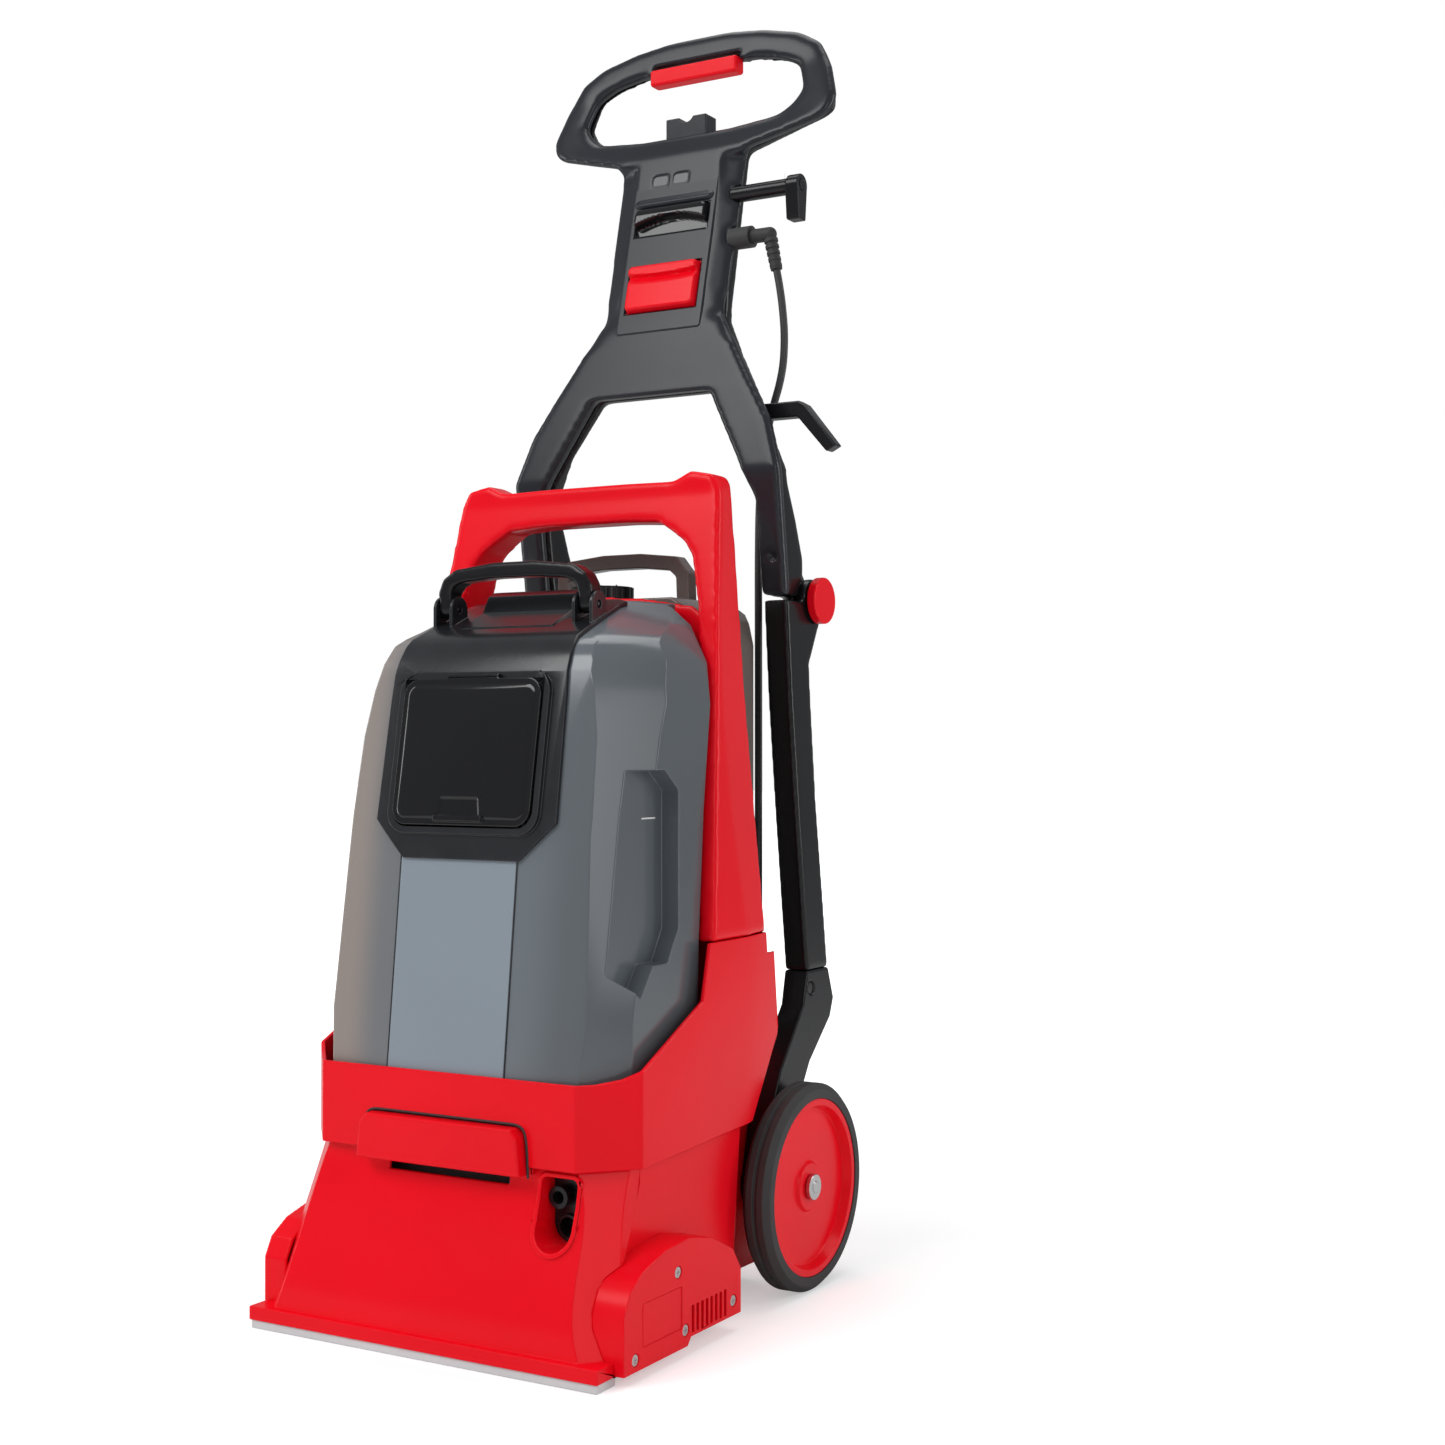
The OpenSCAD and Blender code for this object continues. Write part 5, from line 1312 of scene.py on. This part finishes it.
@dataclass
class Mouldings:
    """The mouldings, each with its finish and the way its edges are rounded.

    Args:
        rounded: Nodes whose edges are rounded, with the rounding's width in mm, or 0 for none.
        soft: Nodes softened all over, with their new faces' size in mm and the rounds.
        plain: Nodes that keep their shape.
        rest_foot: Height of the hose rest's foot, in mm.
        rest_drop: How far that foot is let down, in mm.
    """

    rounded: list[tuple[str, Finish, float]] = field(
        default_factory=lambda: [
            ("lower_body", RED, 1.0), ("nozzle_lip", PALE, 1.2), ("side_cover_right", RED, 0.7),
            ("front_grip", RED, 2.0), ("upper_body", RED, 1.2),
            ("leg_bracket_right", BLACK, 2.5), ("leg_bracket_left", BLACK, 2.5),
            ("tyre_right", TYRE, 0.6), ("tyre_left", TYRE, 0.6),
            ("wheel_rim_right", RED, 0.8), ("wheel_rim_left", RED, 0.8),
            ("recovery_tank", SMOKE, 1.0), ("tank_shroud", PANEL, 0.8), ("port_door", GLOSS, 1.0),
            ("solution_tank", AMBER, 1.6), ("solution_cap", BLACK, 0.8),
            ("hose_rest", SLATE, 1.2), ("lower_hook", BLACK, 1.6),
            ("upper_hook_arm", BLACK, 0.8), ("hook_swivel", BLACK, 1.4), ("trigger", RED, 3.0),
            ("knob_right", RED, 1.2), ("knob_left", RED, 1.2), ("cord_plug", BLACK, 1.6),
            ("wheel_axle", STEEL, 0.6), ("base_pan", BLACK, 0.0),
        ]
    )
    soft: list[tuple[str, Finish, float, int]] = field(
        default_factory=lambda: [
            ("handle_front", SLATE, 1.8, 3), ("handle_rear", BLACK, 2.0, 32),
            ("carry_frame", RED, 2.0, 26), ("lower_leg_right", BLACK, 1.8, 14),
            ("lower_leg_left", BLACK, 1.8, 14), ("tank_handle", BLACK, 1.1, 26),
            ("side_cover_left", RED, 1.1, 3),
        ]
    )
    plain: list[tuple[str, Finish]] = field(
        default_factory=lambda: [
            ("nozzle_plate", INNER), ("spray_bar", INNER), ("cover_screws", STEEL),
            ("port_panel", BLACK), ("fluid_coupler", BLACK), ("tank_seal", RUBBER),
            ("brush_bushes", BRONZE), ("brush_motor", CAST), ("drive_belt", RUBBER),
            ("pump", INNER), ("vacuum_motor", CAST), ("leg_screws", DARK_STEEL),
            ("brush_core", INNER), ("brush_bristles", BRISTLE), ("brush_pulley", INNER),
            ("motor_pulley", STEEL), ("vacuum_fan", CAST), ("hose_port", BLACK),
            ("float_cage", WHITE), ("float_ball", ORANGE), ("valve_plunger", WHITE),
            ("status_lenses", LENS), ("strain_relief", RUBBER),
        ]
    )
    rest_foot: float = 3.0
    rest_drop: float = 10.0

    def _seat(self, piece: bpy.types.Object) -> None:
        """Lets the hose rest's foot down into the rounded bar under it."""
        low = min(vertex.co.z for vertex in piece.data.vertices)
        for vertex in piece.data.vertices:
            if vertex.co.z < low + self.rest_foot * MM:
                vertex.co.z -= self.rest_drop * MM

    def build(self, shop: Workshop) -> None:
        """Rounds and dresses every moulding, and dresses the plain pieces.

        Args:
            shop: The workshop.
        """
        for node, finish, width in self.rounded:
            piece = shop.rounded(node, finish, width)
            if node == "hose_rest":
                self._seat(piece)
            log.info("%s: %d faces", piece.name, len(piece.data.polygons))
        for node, finish, voxel, rounds in self.soft:
            shares = FrontShell().rounds() if node == "handle_front" else ()
            piece = shop.softened(node, finish, voxel, rounds, shares)
            log.info("%s: %d faces", piece.name, len(piece.data.polygons))
        for node, finish in self.plain:
            shop.dress(shop.nodes[node], finish)


# ---- trim on the handle, the tanks and the base -----------------------------


def raised(
    u: float, v: float, size: tuple[float, float], edge: float, sink: float, rise: float
) -> float:
    """The height of a block's front over the surface that it sits in.

    Args:
        u: Place across the block, from its middle.
        v: Place up the block, from its middle.
        size: The block's width and height.
        edge: Width of the round edge.
        sink: Depth of the outline behind the surface.
        rise: Height of the front over the outline at this place.

    Returns:
        The height.
    """
    return rise * fade(u, v, size, edge) - sink


@dataclass(frozen=True)
class SwitchCap:
    """The power switch: a lip along its top, a hollow under it and a full belly.

    Args:
        size: Its width and height.
        edge: Width of its round edge.
        sink: Depth of its outline behind the mast's front.
        lip_foot: Where the lip starts at its middle, over the cap's middle.
        lip_bow: How much further up it starts at its ends.
        lip_blend: Half the height over which the lip rises.
        lip_front: How far the lip stands out.
        belly: How far the belly stands out.
        belly_bow: How much further it does at its middle.
        hollow: Depth of the hollow in the belly.
        hollow_height: Height over which the hollow deepens.
    """

    size: tuple[float, float] = (76.0, 46.0)
    edge: float = 3.0
    sink: float = 2.0
    lip_foot: float = 11.0
    lip_bow: float = 2.4
    lip_blend: float = 0.7
    lip_front: float = 7.8
    belly: float = 6.0
    belly_bow: float = 0.5
    hollow: float = 3.2
    hollow_height: float = 9.0

    def front(self, u: float, v: float) -> float:
        """The front's height over the mast at a place."""
        bow = (2 * u / self.size[0]) ** 2
        foot = self.lip_foot + self.lip_bow * bow
        lip = ease(v, foot - self.lip_blend, foot + self.lip_blend)
        hollow = self.hollow * ease(v, foot - self.hollow_height, foot)
        belly = self.belly - hollow + self.belly_bow * (1 - bow)
        front = belly * (1 - lip) + self.lip_front * lip
        return raised(u, v, self.size, self.edge, self.sink, front + self.sink)


@dataclass(frozen=True)
class LeverCap:
    """The mode lever: full at the top, drawn in below along a curve.

    Args:
        size: Its width and height.
        edge: Width of its round edge.
        sink: Depth of its outline behind the mast's front.
        foot: How far the drawn-in foot stands out.
        belly: How much further the belly stands out.
        belly_foot: Where the belly starts at its middle, over the cap's middle.
        belly_bow: How much further down it starts at its ends.
        belly_blend: Half the height over which the belly rises.
        brow: How far the top falls back.
        brow_span: Heights between which it does.
    """

    size: tuple[float, float] = (78.0, 26.0)
    edge: float = 2.4
    sink: float = 2.0
    foot: float = -1.4
    belly: float = 9.4
    belly_foot: float = 2.5
    belly_bow: float = 8.0
    belly_blend: float = 1.6
    brow: float = 1.6
    brow_span: tuple[float, float] = (5.0, 13.0)

    def front(self, u: float, v: float) -> float:
        """The front's height over the mast at a place."""
        low = self.belly_foot - self.belly_bow * (2 * u / self.size[0]) ** 2
        belly = self.belly * ease(v, low - self.belly_blend, low + self.belly_blend)
        front = self.foot + belly - self.brow * ease(v, *self.brow_span)
        return raised(u, v, self.size, self.edge, self.sink, front + self.sink)


@dataclass
class Controls:
    """The switch and the lever on the mast, the hood over the lever and the plate round them.

    Args:
        lean: How far the mast's front leans back, in degrees.
        mast_foot: Depth and height of a place on the mast's front.
        switch_z: Height of the switch's middle.
        lever_z: Height of the lever's middle.
        switch: The switch.
        lever: The lever.
        cap_back: Depth of both caps behind the mast's front.
        hood_rise: How far the hood's middle lies over the lever's.
        hood_size: The hood's width and height.
        hood_edge: Width of its round edge.
        hood_sink: Depth of its outline behind the mast's front.
        hood_front: Height of its front over its outline.
        hood_drop: How much lower its upper edge is.
        hood_drop_span: Heights between which it drops, from its middle.
        hood_back: Depth of its back behind the mast's front.
        plate_z: Height of the plate's middle.
        plate_size: The plate's width and height.
        plate_edge: Width of its round edge.
        plate_sink: Depth of its outline behind the mast's front.
        plate_front: Height of its front over its outline.
        plate_back: Depth of its back behind the mast's front.
        plate_step: Distance between its points.
        play: Gap round the switch and the lever.
        cut_depth: How far the cut of an opening goes out and in.
        cut_step: Distance between the cutter's points.
    """

    lean: float = 13.7
    mast_foot: tuple[float, float] = (362.0, 891.0)
    switch_z: float = 896.0
    lever_z: float = 962.0
    switch: SwitchCap = SwitchCap()
    lever: LeverCap = LeverCap()
    cap_back: float = 9.5
    hood_rise: float = 20.4
    hood_size: tuple[float, float] = (88.0, 13.0)
    hood_edge: float = 4.0
    hood_sink: float = 1.0
    hood_front: float = 5.2
    hood_drop: float = 3.4
    hood_drop_span: tuple[float, float] = (-3.0, 6.0)
    hood_back: float = 2.5
    plate_z: float = 932.0
    plate_size: tuple[float, float] = (93.0, 164.0)
    plate_edge: float = 2.2
    plate_sink: float = 0.5
    plate_front: float = 1.4
    plate_back: float = 1.5
    plate_step: float = 1.1
    play: float = 1.2
    cut_depth: float = 8.0
    cut_step: float = 12.0

    def _place(self, z: float) -> Matrix:
        """The mast's front at a height: across, inwards and up, from mm."""
        foot_y, foot_z = self.mast_foot
        y = foot_y + (z - foot_z) * math.tan(math.radians(self.lean))
        return block_axes(at(0, y, z), -self.lean, "X")

    def _hood(self, u: float, v: float) -> float:
        """The hood's front: a low brow over the lever."""
        rise = self.hood_front - self.hood_drop * ease(v, *self.hood_drop_span)
        return raised(u, v, self.hood_size, self.hood_edge, self.hood_sink, rise)

    def _plate(self, u: float, v: float) -> float:
        """The plate's front: flat, a little over the mast."""
        return raised(u, v, self.plate_size, self.plate_edge, self.plate_sink, self.plate_front)

    def _open(self, plate: bpy.types.Object, z: float, size: tuple[float, float]) -> None:
        """Cuts a control's opening through the plate.

        Args:
            plate: The plate.
            z: Height of the control's middle.
            size: The control's width and height, in mm.
        """
        outline = (size[0] + 2 * self.play, size[1] + 2 * self.play)
        cutter = relief_block("opening", outline, self.cut_depth, lambda u, v: self.cut_depth,
                              self._place(z), self.cut_step)
        take(plate)
        cut = plate.modifiers.new("opening", "BOOLEAN")
        cut.object = cutter
        cut.solver = "EXACT"
        bpy.ops.object.modifier_apply(modifier=cut.name)
        bpy.data.objects.remove(cutter)

    def build(self, shop: Workshop) -> None:
        """Makes the controls, the hood and the plate.

        Args:
            shop: The workshop.
        """
        switch = relief_block("power_switch_cap", self.switch.size, self.cap_back,
                              self.switch.front, self._place(self.switch_z))
        shop.own(switch, "power", RED)
        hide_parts("power_switch")
        lever = relief_block("mode_lever_cap", self.lever.size, self.cap_back,
                             self.lever.front, self._place(self.lever_z))
        shop.own(lever, "mode", GLOSS)
        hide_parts("mode_lever")
        hood = relief_block("mode_hood", self.hood_size, self.hood_back, self._hood,
                            self._place(self.lever_z + self.hood_rise))
        shop.own(hood, "handle", SLATE)
        plate = relief_block("mast_plate", self.plate_size, self.plate_back, self._plate,
                             self._place(self.plate_z), self.plate_step)
        self._open(plate, self.switch_z, self.switch.size)
        self._open(plate, self.lever_z, self.lever.size)
        shop.own(plate, "handle", SLATE)


@dataclass
class TankTrim:
    """The recovery tank's front panel, the seams beside it and its level line.

    Args:
        low: Depth and height of a place low on the tank's front.
        high: Depth and height of a place high on it.
        middle: Where the panel's middle lies across.
        half_width: Half the panel's width.
        span: Heights of the panel's foot and head.
        rows: Faces along its height.
        proud: How far it stands out of the tank.
        sunk: How far it reaches in.
        edge: Width of the rounding along its edges.
        seam: Radius of a seam.
        seam_proud: How far a seam's middle stands out.
        seam_rows: Faces along a seam.
        mark_place: Middle of the level line, on the window in the tank's side.
        mark_size: Its width and height.
        mark_proud: How far it stands out.
        mark_back: How far it reaches in.
        mark_edge: Width of the rounding along its edges.
    """

    low: tuple[float, float] = (42.0, 215.0)
    high: tuple[float, float] = (61.5, 400.0)
    middle: float = -3.0
    half_width: float = 57.0
    span: tuple[float, float] = (206.0, 386.0)
    rows: int = 24
    proud: float = 0.7
    sunk: float = 0.6
    edge: float = 0.5
    seam: float = 0.7
    seam_proud: float = 0.2
    seam_rows: int = 12
    mark_place: Point = (132.0, 128.0, 414.0)
    mark_size: tuple[float, float] = (20.0, 1.3)
    mark_proud: float = 0.3
    mark_back: float = 0.4
    mark_edge: float = 0.1

    def _point(self, x: float, z: float, out: float) -> Vector:
        """A place on the tank's front face, moved outwards."""
        slope = (self.high[0] - self.low[0]) / (self.high[1] - self.low[1])
        lean = math.atan(slope)
        y = self.low[0] + (z - self.low[1]) * slope
        return at(x, y - out * math.cos(lean), z + out * math.sin(lean))

    def _heights(self, rows: int) -> list[float]:
        """The heights of the panel's rows of points, from its foot to its head."""
        foot, head = self.span
        return [foot + (head - foot) * row / rows for row in range(rows + 1)]

    def build(self, shop: Workshop) -> None:
        """Makes the panel, the level line and the seams.

        Args:
            shop: The workshop.
        """
        places = [
            (self.middle + share * self.half_width, z)
            for z in self._heights(self.rows) for share in (-1.0, -1 / 3, 1 / 3, 1.0)
        ]
        front = [self._point(x, z, self.proud) for x, z in places]
        rear = [self._point(x, z, -self.sunk) for x, z in places]
        panel = slab("tank_front_panel", front, rear, 4)
        bevel_edges(panel, self.edge, 2)
        shop.own(panel, "recovery", TANK_PANEL)
        mark = relief_block("level_line", self.mark_size, self.mark_back,
                            lambda u, v: self.mark_proud, block_axes(at(*self.mark_place), 90, "Z"))
        bevel_edges(mark, self.mark_edge, 1)
        shop.own(mark, "recovery", WHITE)
        for name, side in (("tank_seam_left", -1), ("tank_seam_right", 1)):
            x = self.middle + side * (self.half_width + self.seam)
            line = [self._point(x, z, self.seam_proud) for z in self._heights(self.seam_rows)]
            shop.own(sweep(name, line, self.seam * MM), "recovery", PANEL)


@dataclass
class DoorFace:
    """The domed face of the port door, with its finger tab.

    Args:
        size: Its width and height.
        lean: How far the door leans back, in degrees.
        place: Depth and height of the door's middle.
        surface: Distance from there to the door's front.
        back: Depth of the face behind the door's front.
        edge: Width of its round edge.
        sink: Depth of its outline behind the door's front.
        rim: How far it stands out at its rim.
        dome: How much further it stands out at its middle.
        tab_half: Half the width of the tab at its foot.
        tab_taper: How much narrower each side of the tab gets with height.
        tab_head: Where the tab ends, from the face's middle.
        tab_edge: Width of the slope round the tab.
        tab_depth: Depth of the tab.
    """

    size: tuple[float, float] = (128.0, 110.0)
    lean: float = 9.5
    place: tuple[float, float] = (69.0, 466.0)
    surface: float = 5.4
    back: float = 1.0
    edge: float = 5.0
    sink: float = 0.6
    rim: float = 0.7
    dome: float = 2.4
    tab_half: float = 21.0
    tab_taper: float = 0.12
    tab_head: float = -37.0
    tab_edge: float = 1.4
    tab_depth: float = 1.1

    def _front(self, u: float, v: float) -> float:
        """The face's height over the door: a shallow dome, cut down at the tab."""
        width, height = self.size
        crown = (1 - (2 * u / width) ** 2) * (1 - (2 * v / height) ** 2)
        beside = self.tab_half - abs(u) - self.tab_taper * (v + height / 2)
        tab = ease(beside, 0.0, self.tab_edge) * ease(self.tab_head - v, 0.0, self.tab_edge)
        top = self.rim + self.dome * crown - self.tab_depth * tab
        return raised(u, v, self.size, self.edge, self.sink, self.sink + top)

    def build(self, shop: Workshop) -> None:
        """Makes the face.

        Args:
            shop: The workshop.
        """
        out = Matrix.Translation((0, -self.surface, 0))
        place = block_axes(at(0, *self.place), -self.lean, "X") @ out
        face = relief_block("port_door_face", self.size, self.back, self._front, place)
        shop.own(face, "door", GLOSS)


@dataclass
class GripShadeLine:
    """A dark rubber bead round the front grip: painted shade, put where the gap round the grip lies
    in shadow.

    Args:
        face: Depth at which it lies.
        radius: Its radius.
        steps: Pieces between two points of its line.
        half: Its line on the right, as places across and heights; the left mirrors it.
    """

    face: float = 36.9
    radius: float = 1.0
    steps: int = 4
    half: Sequence[tuple[float, float]] = (
        (81.0, 141.0), (80.2, 160.0), (78.8, 172.0), (76.0, 178.0), (70.0, 180.6), (58.0, 181.0),
        (30.0, 181.0),
    )

    def build(self, shop: Workshop) -> None:
        """Makes the bead.

        Args:
            shop: The workshop.
        """
        corners_of = list(self.half) + [(-x, z) for x, z in reversed(self.half)]
        line = smooth_line([at(x, self.face, z) for x, z in corners_of], self.steps)
        # The bead is painted shade: a dark line standing in for the shadow in the gap round the
        # grip.
        shop.own(sweep("front_grip_shade_line", line, self.radius * MM), "base", RUBBER)


def main() -> None:
    """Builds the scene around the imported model."""
    logging.basicConfig(level=logging.INFO, format="%(message)s")
    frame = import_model()
    Stage().build()
    shop = Workshop(frame)
    trim = (Controls(), TankTrim(), DoorFace(), GripShadeLine())
    for assembly in (PowerCord(), CoilTies(), Mouldings(), *trim):
        assembly.build(shop)
    bpy.ops.object.select_all(action="DESELECT")


if __name__ == "__main__":
    main()
